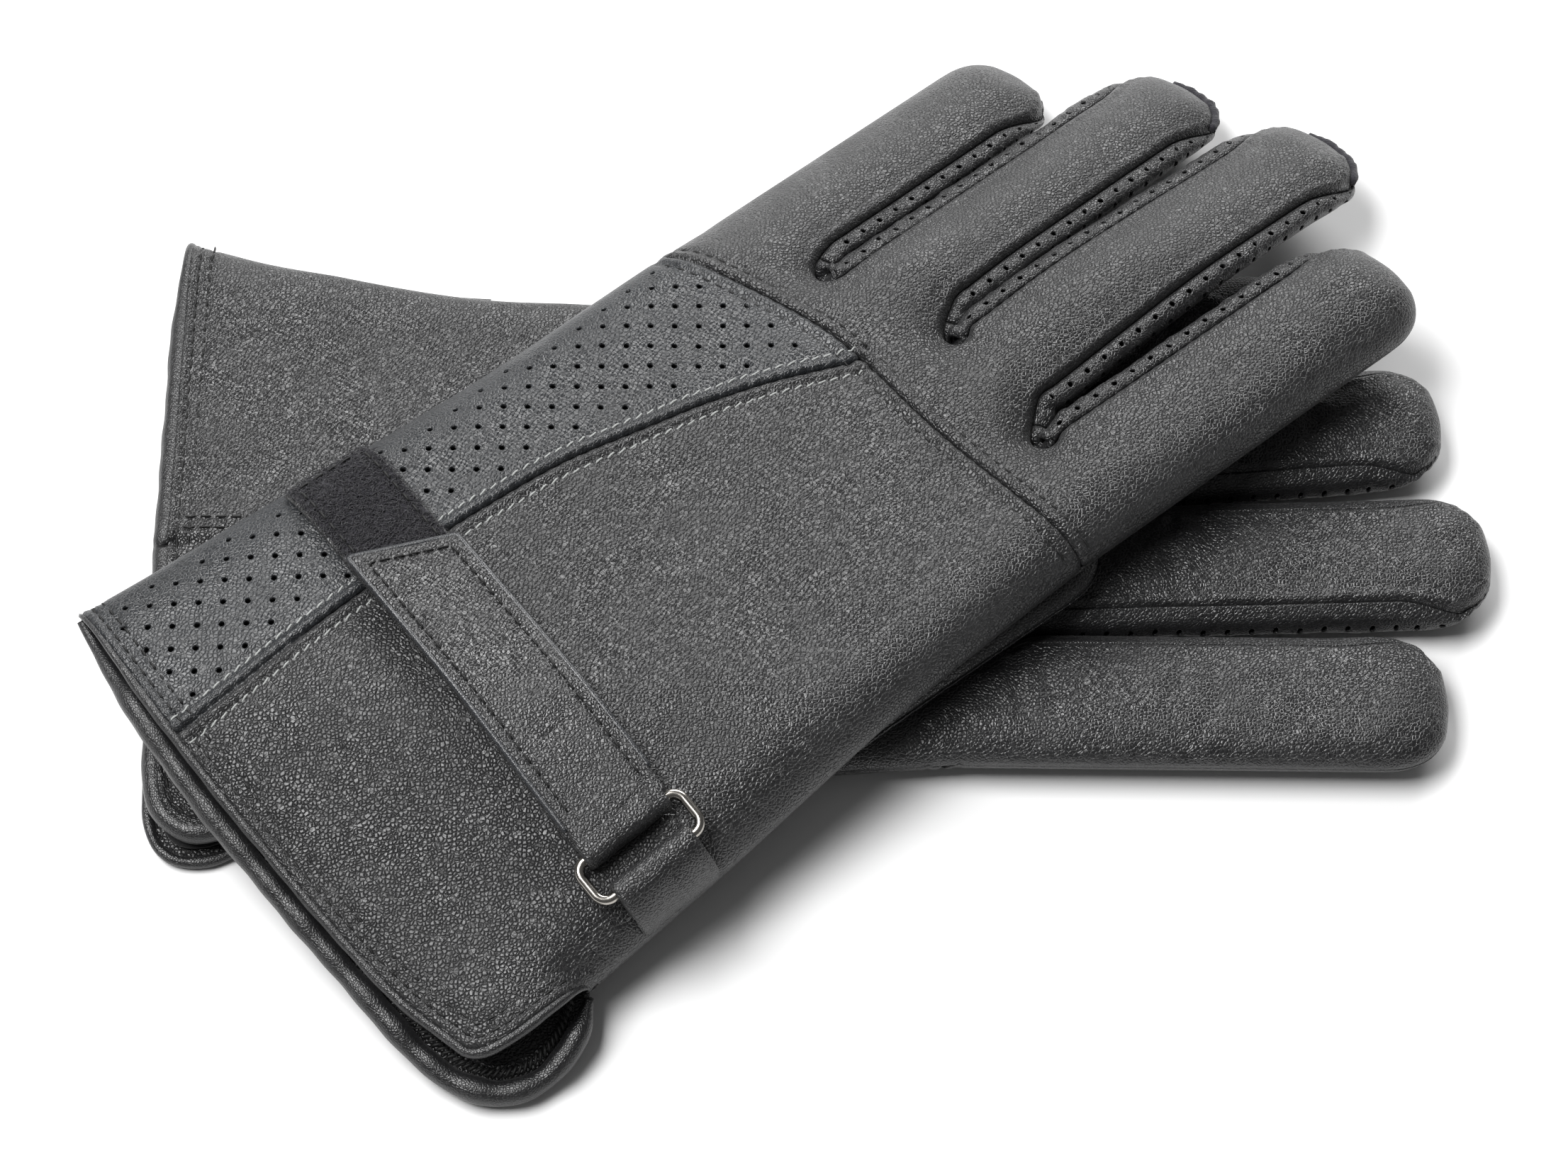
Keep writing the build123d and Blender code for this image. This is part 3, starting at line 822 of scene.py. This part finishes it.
def build_lining(place):
    """A loose bag inside the leather, open at the cuff: one layer under the back and one on the palm."""
    side = place.side
    parts = []
    for face in ("back", "palm"):
        outline = inset_outline(whole_outline(side, "back", STRIP_MARGIN), LINING_INSET)
        uv, faces = flat_mesh(outline, 2.6, (), (1.2,))
        outward = 1 if face == "back" else -1
        h = skin_height(uv, place, face) - outward * LINING_DEPTH
        parts.append(sheet(place, uv, faces, h, face, LINING_THICKNESS))
    points, faces = joined(parts)
    made = new_object(f"{side}_lining_bag", points, faces, LINING, place.body, "lining_cloth")
    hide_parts(f"{side}_lining")


# ---------------------------------------------------------------- side strips between the fingers
# across a strip: share of its bulge, share of its depth
STRIP_SECTION = [(0.0, 0.1), (0.17, 0.0), (0.5, -0.02), (0.82, 0.08), (1.0, 0.27), (0.75, 0.72), (0.0, 1.0)]
STRIP_BULGE = 4.0
CROTCH_PIECE = 5.0               # half the length of the gusset at the bottom of a crotch


def strip_section(t):
    curve = curve_through(STRIP_SECTION, 0.02)
    size = np.concatenate([[0], np.cumsum(np.linalg.norm(np.diff(curve, axis=0), axis=1))])
    return np.interp(t, size / size[-1], curve[:, 0]), np.interp(t, size / size[-1], curve[:, 1])


def half_gaps(line):
    """Half the distance from each point of a gap's line to the line's other side."""
    apart = np.abs(np.arange(len(line))[:, None] - np.arange(len(line))[None])
    distance = np.hypot(*(line[:, None] - line[None]).transpose(2, 0, 1))
    distance[apart < 13] = 2 * STRIP_BULGE
    return np.minimum(distance.min(1) / 2, STRIP_BULGE)


def gap_columns(place, number):
    """One gap between fingers: the columns that vary along its line, its length and where its crotch is.

    The columns are u, v, the normal's u and v, top, floor, room to bulge, and two fades at the tips."""
    line = resample(BACK_GAPS[place.side][number], OUTLINE_STEP)
    count = len(line) - 1
    length = np.linalg.norm(np.diff(line, axis=0), axis=1).sum()
    normal = side_normals(line)
    top = skin_height(line, place, "back")
    room = half_gaps(line) - 0.1
    from_end = np.minimum(np.arange(count + 1), np.arange(count + 1)[::-1]) * length / count
    ends, tips = smoothstep(from_end / 20), smoothstep(from_end / 7)
    foot = line + normal * ((STRIP_MARGIN - PALM_MARGIN[place.side]) * ends)[:, None]
    under = np.minimum(skin_height(foot, place, "palm") + 0.5, top - 0.8)
    floor = top + (under - top) * (0.15 + 0.85 * tips)
    crotch = np.argmin(((line - np.array(CROTCHES[number])) ** 2).sum(1)) * length / count
    return np.column_stack([line, normal, top, floor, room, ends, tips]), length, crotch


def strip_spans(number, length, crotch):
    """The pieces along a gap, with where each starts and stops: a strip, the gusset and the next strip."""
    near, far = FINGER_NAMES[number], FINGER_NAMES[number + 1]
    return {
        f"strip_{near}_inner": (0.0, crotch - CROTCH_PIECE - 0.1),
        f"crotch_{near}_{far}": (crotch - CROTCH_PIECE, crotch + CROTCH_PIECE),
        f"strip_{far}_outer": (crotch + CROTCH_PIECE + 0.1, length),
    }


def flat_strip(start, stop, with_holes):
    """A strip laid flat: distance along the gap and distance down its side."""
    low, high = 0.05, STRIP_WIDTH - 0.05
    corners = np.array([(start, low), (stop, low), (stop, high), (start, high)])
    holes = []
    if with_holes:
        for row, shift in ((2.3, 4.0), (5.0, 6.4)):
            holes += [(s, row) for s in np.arange(start + shift, stop - 6, HOLE_PITCH)]
    return flat_mesh(resample(corners, 0.8, True), 0.9, holes, (0.4, 0.9))


def strip_surface(place, number, flat, gap, length, crotch):
    """Where a flat strip's points go: (u, v) and height. It bulges, crumples and pinches at the gusset."""
    margin = STRIP_MARGIN - PALM_MARGIN[place.side]
    s, t = flat[:, 0], flat[:, 1] / STRIP_WIDTH
    at = np.clip(s / length, 0, 1) * (len(gap) - 1)
    u, v, out_u, out_v, top, low, wide, end, tip = (np.interp(at, np.arange(len(gap)), c) for c in gap.T)
    x, drop = strip_section(t)
    crumple = noise(np.column_stack([s * 0.9, flat[:, 1] * 1.6]), 4.2, 40 + number, 2)
    folds = noise(np.column_stack([s * 2.2, flat[:, 1] * 0.5]), 3.0, 50 + number, 2)
    calm = np.minimum(1, np.minimum(t, 1 - t) * 7)
    pucker = 0.18 * np.cos(s * 2 * math.pi / PUCKER_PITCH) * np.exp(-((t / 0.25) ** 2))
    pinch = sum(np.exp(-(((s - crotch - k) / 0.7) ** 2)) for k in (-CROTCH_PIECE, CROTCH_PIECE))
    near = np.exp(-(((s - crotch) / 9) ** 2))
    bulge = x * wide * end * (1 - 0.16 * pinch) + margin * end * t**2 - 1.0 * (1 - tip)
    relief = (0.2 + 0.25 * near) * crumple + (0.12 + 0.3 * near) * folds + pucker
    h = top - drop * (top - low) - 0.45 + (0.75 * relief + 0.5 * near - 0.8 * pinch * (1 - t)) * calm
    out = bulge + 0.6 * relief * calm
    return np.column_stack([u + out_u * out, v + out_v * out]), h


def build_strips(place):
    """Perforated strips down the sides of the fingers, joined by a small gusset at each crotch."""
    side = place.side
    for number in range(3):
        gap, length, crotch = gap_columns(place, number)
        for name, (start, stop) in strip_spans(number, length, crotch).items():
            flat, faces = flat_strip(start, stop, name.startswith("strip"))
            uv, h = strip_surface(place, number, flat, gap, length, crotch)
            solid = sheet(place, uv, faces, h, "back", STRIP_LEATHER)
            made = new_object(f"{side}_{name}_leather", *solid, STRIP, place.body, "perforated_leather")
            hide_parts(f"{side}_{name}")


# ---------------------------------------------------------------- thumbs
def capsule(root, tip, half):
    """A thumb's outline, round at its root and squarer at its tip."""
    root, tip = np.array(root, float), np.array(tip, float)
    along = (tip - root) / np.linalg.norm(tip - root)
    side = np.array([-along[1], along[0]])
    length = np.linalg.norm(tip - root)
    turn = np.linspace(0, math.pi, 25)
    end = np.sign(np.cos(turn))[:, None] * (np.abs(np.cos(turn)) ** 0.85)[:, None] * side * half
    far = root + along * (length - half) + end + (np.sin(turn) ** 0.85)[:, None] * along * half
    near = root - np.cos(turn)[:, None] * side * half * 0.9 - np.sin(turn)[:, None] * along * half * 0.5
    return resample(np.vstack([far, near]), 0.9, True)


def build_thumb(place):
    """The thumb, folded flat over the palm: two leather halves sewn along the outline."""
    side = place.side
    outline = capsule(*THUMBS[side])
    uv, faces = flat_mesh(outline, 1.7, (), (0.3, 0.9, 1.8, 3.0))
    distance = nearest(uv, outline, True)[0]
    middle = (THUMB_TOP + THUMB_LOW) / 2
    round_off = crown(distance, 9.0)
    dent = 0.45 * np.exp(-((distance / 0.9) ** 2))
    wave = (0.4 * noise(uv, 17, 71) + 0.15 * noise(uv, 6, 72)) * smoothstep(distance / 5)
    outer = middle + (THUMB_TOP - middle) * round_off + wave * 0.8 - dent - 0.5 * round_off
    inner = middle - (middle - THUMB_LOW) * round_off + dent
    top, below = place.world(uv, -outer), place.world(uv, -inner)
    if place.up:
        faces = faces[:, ::-1]
    points, faces = closed_between(top, below, faces)
    made = new_object(f"{side}_thumb_leather", points, faces, PALM, place.body, "palm_leather")
    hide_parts(f"{side}_thumb")


# ---------------------------------------------------------------- strap, ring and keeper
class RingFrame:
    """x along the ring's bars, y from the keeper's bar towards the strap's, z out of the glove."""

    def __init__(self, side):
        swing, peel = joint(f"{side}_ring_swing"), joint(f"{side}_strap_peel")
        self.origin = np.array(swing["pos_m"])
        self.x = np.array(swing["axis"])
        across = np.array(peel["pos_m"]) - self.origin
        self.y = across / np.linalg.norm(across)
        self.z = np.cross(self.x, self.y)

    def world(self, p):
        p = np.asarray(p, float) * MM
        points = self.origin + p[:, 0:1] * self.x + p[:, 1:2] * self.y + p[:, 2:3] * self.z
        points[:, 2] = above_floor(points[:, 2] / MM) * MM
        return points


def strap_height(uv, place, layer):
    """A level over the back's plain face, rounded down with the glove's side."""
    distance, _ = nearest(uv, SILHOUETTE[place.side])
    seam = SEAM_HEIGHT[place.side]
    return seam + (place.thickness - seam) * crown(distance, SIDE_RADIUS) + layer


def strap_outline(low_v, end_low, end_high, inset=0.0):
    low_u, high_u = STRAP_LOW_U + inset, STRAP_HIGH_U - inset
    corners = [(low_u, low_v), (high_u, low_v), (high_u, end_high), (low_u, end_low)]
    return resample(np.array(corners, float), 0.8, True)


def cut_open(outline, low_v):
    """A closed outline without the part below low_v, as one open run."""
    kept = outline[outline[:, 1] > low_v]
    gaps = np.linalg.norm(np.diff(np.vstack([kept, kept[:1]]), axis=0), axis=1)
    return np.roll(kept, -int(np.argmax(gaps)) - 1, axis=0)


def slab(name, place, outline, low, high, material, slot, body, spacing, shape=None):
    """A flat layer of the strap between two levels. shape adds relief to its outer face."""
    uv, faces = flat_mesh(outline, spacing, (), (0.25, 0.6, 1.1))
    distance = nearest(uv, outline, True)[0]
    rounding = 0.35 * (1 - crown(distance, 0.9))
    relief = shape(uv, distance) if shape else 0.0
    top = place.world(uv, strap_height(uv, place, high) - rounding + relief)
    below = place.world(uv, strap_height(uv, place, low) + rounding)
    if not place.up:
        faces = faces[:, ::-1]
    points, faces = closed_between(top, below, faces)
    return new_object(name, points, faces, material, body, slot)


def leaf_relief(uv, distance):
    """A groove under the stitches, and a plain pressed frame along the middle."""
    groove = -0.32 * np.exp(-(((distance - LEAF_STITCH_INSET) / 0.45) ** 2))
    bead = 0.14 * np.exp(-(((distance - 1.2) / 0.7) ** 2))
    (low_u, high_u), (low_v, high_v) = PRESSED_FRAME
    corner = 2.5
    du = np.abs(uv[:, 0] - (low_u + high_u) / 2) - (high_u - low_u) / 2 + corner
    dv = np.abs(uv[:, 1] - (low_v + high_v) / 2) - (high_v - low_v) / 2 + corner
    outside = np.hypot(np.maximum(du, 0), np.maximum(dv, 0)) + np.minimum(np.maximum(du, dv), 0) - corner
    pressed = -0.3 * np.exp(-((outside / 0.42) ** 2)) - 0.1 * smoothstep(-outside / 0.8)
    soft = 0.12 * noise(uv, 11, 90)
    return groove + bead + pressed + soft


def ribbon(bars, path, width, thickness):
    """A leather strip of even width along a path in the ring frame's y and z, its edges slightly rounded."""
    low_x, high_x = -width / 2, width / 2
    path = curve_through(path, 0.35)
    columns = int((high_x - low_x) / 0.9)
    x = np.linspace(low_x, high_x, columns)
    normal = -side_normals(path)
    edge = 0.25 * (1 - crown(np.minimum(x - low_x, high_x - x), 0.8))
    soft = 0.1 * np.sin(x * 0.7) * np.sin(np.arange(len(path))[:, None] * 0.12)
    y = path[:, 0:1] - normal[:, 0:1] * (edge - soft)
    z = path[:, 1:2] - normal[:, 1:2] * (edge - soft)
    points = np.stack([np.broadcast_to(x, y.shape), y, z], axis=2).reshape(-1, 3)
    faces = grid_faces(len(path), columns)
    points = bars.world(points)
    check = point_normals(points, faces)
    outward = (normal[:, 0:1] * bars.y + normal[:, 1:2] * bars.z).repeat(columns, axis=0)
    if (check * outward).sum() < 0:
        faces = faces[:, ::-1]
    return thicken(points, faces, thickness)


def arc(radius, first, last, middle=(0.0, 0.0)):
    turn = np.radians(np.linspace(first, last, 9))
    return [(middle[0] + radius * math.cos(t), middle[1] + radius * math.sin(t)) for t in turn]


def fibres(name, place, spots, low, reach, height, radius, material, slot, body, seed):
    """Short curled fibres that stand on a patch: each leaves it, bends over and comes back."""
    rng = np.random.default_rng(seed)
    count = len(spots)
    way = rng.uniform(0, 2 * math.pi, count)
    curl = rng.uniform(-1.6, 1.6, count)
    share = np.linspace(0, 1, 5)
    size = reach * rng.uniform(0.5, 1.3, count)
    turn = way[:, None] + curl[:, None] * share
    step = np.stack([np.cos(turn), np.sin(turn)], axis=2) * (size / 4)[:, None, None]
    uv = spots[:, None] + np.cumsum(step, axis=1) - step
    rise = height * rng.uniform(0.35, 1.15, count)[:, None] * np.sin(math.pi * share)
    flat = uv.reshape(-1, 2)
    h = strap_height(flat, place, low) + rise.ravel()
    paths = place.world(flat, h).reshape(count, 5, 3)
    points, faces = tubes(paths, np.full((count, 5), radius), 3)
    return new_object(name, points, faces, material, body, slot)


def scattered(outline, count, seed, edge=0.0):
    """Random spots inside an outline, or only within some distance of its edge."""
    rng = np.random.default_rng(seed)
    p = rng.uniform(outline.min(0), outline.max(0), (count * 3, 2))
    p = p[inside(p, outline)]
    if edge:
        p = p[nearest(p, outline, True)[0] < edge]
    return p[:count]


def build_strap_base(place):
    """The sewn strap and the loop pile on it."""
    side, body, coarse = place.side, place.body, STRAP_COARSENESS[place.side]
    base = strap_outline(STRAP_BAR_V + 2.6, PILE_END_V + 0.6, PILE_END_V + 0.6)
    levels = (STRAP_BASE_LOW, STRAP_BASE_LOW + STRAP_THICKNESS)
    made = slab(f"{side}_strap_back", place, base, *levels, STRAP, "strap_leather", body, 1.4 * coarse)
    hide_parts(f"{side}_strap_base")

    pile = strap_outline(STRAP_BAR_V + 8, PILE_END_V, PILE_END_V, 0.5)
    levels = (PILE_LOW, PILE_LOW + PILE_BACKING)
    made = slab(f"{side}_loop_pile", place, pile, *levels, PILE, "loop_pile", body, 1.6 * coarse)
    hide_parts(f"{side}_strap_loop_pile")
    shown = strap_outline(LEAF_END_HIGH_V - 6, PILE_END_V, PILE_END_V, 0.7)
    spots = scattered(shown, int(5200 / coarse**2), 5)
    fibres(f"{side}_pile_fuzz", place, spots, PILE_LOW + 0.55, 1.7, 0.75, 0.075, PILE, "loop_pile", body, 6)


def build_pile_stitches(place):
    """A row along each long side of the loop pile, and one across its end."""
    side, body = place.side, place.body
    rows = [[(u, LEAF_END_HIGH_V - 4), (u, PILE_END_V - 1)] for u in (STRAP_LOW_U + 2.3, STRAP_HIGH_U - 2.3)]
    rows.append([(STRAP_LOW_U + 2, PILE_END_V - 1.4), (STRAP_HIGH_U - 2, PILE_END_V - 1.4)])

    def height(uv):
        return strap_height(uv, place, PILE_LOW + 1.15)

    seams = [stitches(place, curve_through(row, OUTLINE_STEP), height, PILE_STITCH) for row in rows]
    points, faces = joined(seams)
    new_object(f"{side}_pile_stitches", points, faces, BLACK_THREAD, body, "strap_leather")


def build_strap_end(place):
    """The end that peels up: its leather, the bend round the ring's bar, its painted edge and stitches."""
    side, end_body = place.side, f"{place.side}_strap_end"
    leaf = strap_outline(STRAP_BAR_V, LEAF_END_LOW_V, LEAF_END_HIGH_V)
    levels, spacing = (LEAF_LOW, LEAF_LOW + STRAP_THICKNESS), 0.75 * STRAP_COARSENESS[side]
    name = f"{side}_strap_end_leather"
    made = slab(name, place, leaf, *levels, STRAP, "strap_leather", end_body, spacing, leaf_relief)
    over, under = [(RING_WIDTH + 3.0, 2.45), (RING_WIDTH + 1.2, 2.5)], [(RING_WIDTH + 2.2, -2.45)]
    path = [*over, *arc(2.5, 90, 270, (RING_WIDTH, 0)), *under]
    loop = ribbon(RingFrame(side), path, STRAP_HIGH_U - STRAP_LOW_U, 1.15)
    new_object(f"{side}_strap_bend", *loop, STRAP, end_body, "strap_leather")
    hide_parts(f"{side}_strap_leaf")
    path = cut_open(leaf, STRAP_BAR_V + 5)
    points = place.world(path, strap_height(path, place, LEAF_LOW + 0.6))[None]
    rim_tube = tubes(points, np.full((1, len(path)), 0.66), 8)
    new_object(f"{side}_strap_painted_edge", *rim_tube, PAINTED_EDGE, end_body, "edge_leather")
    around = resample(cut_open(inset_outline(leaf, LEAF_STITCH_INSET), STRAP_BAR_V + 4), OUTLINE_STEP)
    level = LEAF_LOW + STRAP_THICKNESS - 0.12
    made = stitches(place, around, lambda uv: strap_height(uv, place, level), STRAP_STITCH)
    new_object(f"{side}_strap_end_stitches", *made, BLACK_THREAD, end_body, "strap_leather")


def build_hooks(place):
    """The hook tape under the strap's end, with fibres along its edge."""
    side, end_body = place.side, f"{place.side}_strap_end"
    hooks = strap_outline(STRAP_BAR_V + 26, LEAF_END_LOW_V - 0.8, LEAF_END_HIGH_V - 0.8, 0.6)
    levels = (LEAF_LOW - PILE_THICKNESS, LEAF_LOW - 0.05)
    made = slab(f"{side}_hook_tape", place, hooks, *levels, HOOKS, "hook_tape", end_body, 2.0)
    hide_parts(f"{side}_strap_hooks")
    edge = strap_outline(STRAP_BAR_V + 14, LEAF_END_LOW_V, LEAF_END_HIGH_V)
    spots = scattered(edge, int(2600 / STRAP_COARSENESS[side]), 8, 0.9)
    fibres(f"{side}_hook_fuzz", place, spots, LEAF_LOW - 1.2, 1.5, 0.8, 0.07, HOOKS, "hook_tape", end_body, 9)


def build_keeper(place):
    """The leather tab that holds the ring's other bar. Its path goes under the bar, round it and back."""
    side, body = place.side, place.body
    under = [(-4.5, -2.9), (-2.0, -2.45)]
    over = [(-2.0, 2.2), (-4.2, 0.9), (-6.6, -1.9), (-8.1, -5.0), (-8.6, -8.0)]
    keeper = ribbon(RingFrame(side), [*under, *arc(2.45, -90, 90), *over], KEEPER_WIDTH, 1.05)
    made = new_object(f"{side}_keeper_leather", *keeper, STRAP, body, "strap_leather")
    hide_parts(f"{side}_ring_keeper")


# ---------------------------------------------------------------- stitches
def stitches(place, line, height, size, slant=0.0, outward=1):
    """Arched thread stitches along a line. size is a stitch's length, the pitch and the thread's radius.

    outward is -1 on the palm, where h falls from the leather outwards."""
    long, pitch, radius = size
    length = np.linalg.norm(np.diff(line, axis=0), axis=1).sum()
    middle = np.arange(0.6 * pitch, length - 0.5 * pitch, pitch)
    share = np.array([-0.5, -0.3, 0.0, 0.3, 0.5])
    at = np.clip((middle[:, None] + share * long) / length, 0, 1).ravel() * (len(line) - 1)
    steps = np.arange(len(line))
    normal = side_normals(line)
    uv = np.column_stack([np.interp(at, steps, line[:, k]) for k in (0, 1)])
    out = np.column_stack([np.interp(at, steps, normal[:, k]) for k in (0, 1)])
    uv = uv + out * (np.tile(share, len(middle)) * slant)[:, None]
    arch = np.tile(np.array([-1.1, 0.55, 0.95, 0.55, -1.1]) * radius, len(middle))
    paths = place.world(uv, height(uv) + outward * arch).reshape(len(middle), 5, 3)
    return tubes(paths, np.tile(np.array([0.6, 0.95, 1.0, 0.95, 0.6]) * radius, (len(middle), 1)), 6)


def sewn_row(place, line, inset, face, size, slant=0.0, keep=None):
    """Stitches beside a seam, following the leather."""
    row = resample(line + side_normals(line) * inset, OUTLINE_STEP)
    if keep is not None:
        row = row[keep(row)]
    outward = 1 if face == "back" else -1
    return stitches(place, row, lambda uv: leather_height(uv, place, face), size, slant, outward)


def before_strap(row):
    return row[:, 0] < STRAP_LOW_U + 0.8


def after_strap(row):
    return row[:, 0] > STRAP_HIGH_U - 0.8


def build_stitches(place):
    """The pale rows beside the perforated panel, and the black rows of the knuckles, the cuff and the lap."""
    side, body = place.side, place.body
    pale, black = [], []
    for inset in (-STITCH_INSET, STITCH_INSET):
        for part in (before_strap, after_strap):
            pale.append(sewn_row(place, PERFORATED_LINE, inset, "back", PALE_STITCH, PALE_SLANT, part))
        black.append(sewn_row(place, KNUCKLE_LINE, inset, "back", KNUCKLE_STITCH))
    for inset in HEM_ROWS:
        for face in ("back", "palm"):
            black.append(sewn_row(place, cuff_line(side, face), inset, face, HEM_STITCH))
    if not place.up:
        lap = curve_through([(4, LAP_V), (LAP_END_U, LAP_V)], OUTLINE_STEP)
        for inset in LAP_ROWS:
            black.append(sewn_row(place, lap, inset, "palm", HEM_STITCH))
    points, faces = joined(pale)
    new_object(f"{side}_pale_stitches", points, faces, PALE_THREAD, body, "perforated_leather")
    points, faces = joined(black)
    new_object(f"{side}_black_stitches", points, faces, BLACK_THREAD, body, "back_leather")


def build_raw_rims(place):
    """Frayed black edges round the tips of the ring and middle fingers."""
    side, body = place.side, place.body
    line = fingers_line(side, STRIP_MARGIN, 0.0)
    parts = []
    for number in (1, 2):
        tip = int(np.argmin(((line - np.array(FINGERS[side][number][1])) ** 2).sum(1)))
        rim = line[tip - 5 : tip + 17]
        rng = np.random.default_rng(20 + number)
        h = skin_height(rim, place, "back") + 1.4
        swell = np.sin(np.linspace(0.15, math.pi - 0.15, len(rim))) ** 0.5
        radii = (0.6 + 0.65 * swell) * rng.uniform(0.85, 1.15, len(rim))
        parts.append(tubes(place.world(rim, h)[None], radii[None], 9))
    points, faces = joined(parts)
    new_object(f"{side}_raw_tips", points, faces, PILE, body, "edge_leather")


for place in PLACES.values():
    build_back(place)
    build_palm(place)
    build_hems(place)
    build_lining(place)
    build_strips(place)
    build_thumb(place)
    build_strap_base(place)
    build_pile_stitches(place)
    build_strap_end(place)
    build_hooks(place)
    build_keeper(place)
    build_stitches(place)
build_raw_rims(PLACES["left"])

for side in PLACES:
    ring = bpy.data.objects[f"{side}_ring"]
    for slot in ring.material_slots:
        slot.material = METAL


# ---------------------------------------------------------------- floor, light and camera
def area_light(name, at, target, size, power):
    data = bpy.data.lights.new(name, "AREA")
    data.shape = "RECTANGLE"
    data.size, data.size_y = size
    data.energy = power
    lamp = bpy.data.objects.new(name, data)
    lamp.location = at
    lamp.rotation_euler = (Vector(target) - Vector(at)).to_track_quat("-Z", "Y").to_euler()
    bpy.context.scene.collection.objects.link(lamp)


def build_studio():
    size = 6.0
    corners = [(-size, -size, 0), (size, -size, 0), (size, size, 0), (-size, size, 0)]
    mesh = bpy.data.meshes.new("floor")
    mesh.from_pydata(corners, [], [(0, 1, 2, 3)])
    floor = bpy.data.objects.new("floor", mesh)
    bpy.context.scene.collection.objects.link(floor)
    pale = bpy.data.materials.new("pale_floor")
    pale.use_nodes = True
    pale.node_tree.nodes["Principled BSDF"].inputs["Base Color"].default_value = (0.86, 0.86, 0.86, 1)
    pale.node_tree.nodes["Principled BSDF"].inputs["Roughness"].default_value = 0.9
    floor.data.materials.append(pale)
    world = bpy.data.worlds.new("studio")
    world.use_nodes = True
    world.node_tree.nodes["Background"].inputs["Color"].default_value = (1, 1, 1, 1)
    world.node_tree.nodes["Background"].inputs["Strength"].default_value = 0.13
    bpy.context.scene.world = world
    area_light("key", (-0.62, 0.02, 1.38), (0, 0, 0), (1.0, 0.7), 32)
    area_light("rim", (0.25, 1.25, 0.8), (0, 0, 0), (1.2, 0.5), 20)
    bpy.context.scene.view_settings.view_transform = "Standard"


def build_camera():
    """The view looks along +Y and down at 60 degrees, from far away."""
    elevation, distance = math.radians(60), 0.879
    target = Vector((-0.0012, -0.0105, 0.0143))
    back = Vector((0, -math.cos(elevation), math.sin(elevation)))
    data = bpy.data.cameras.new("camera")
    data.sensor_width, data.lens = 36.0, 100.0
    camera = bpy.data.objects.new("camera", data)
    camera.location = target + back * distance
    camera.rotation_euler = (-back).to_track_quat("-Z", "Y").to_euler()
    bpy.context.scene.collection.objects.link(camera)
    bpy.context.scene.camera = camera


build_studio()
build_camera()
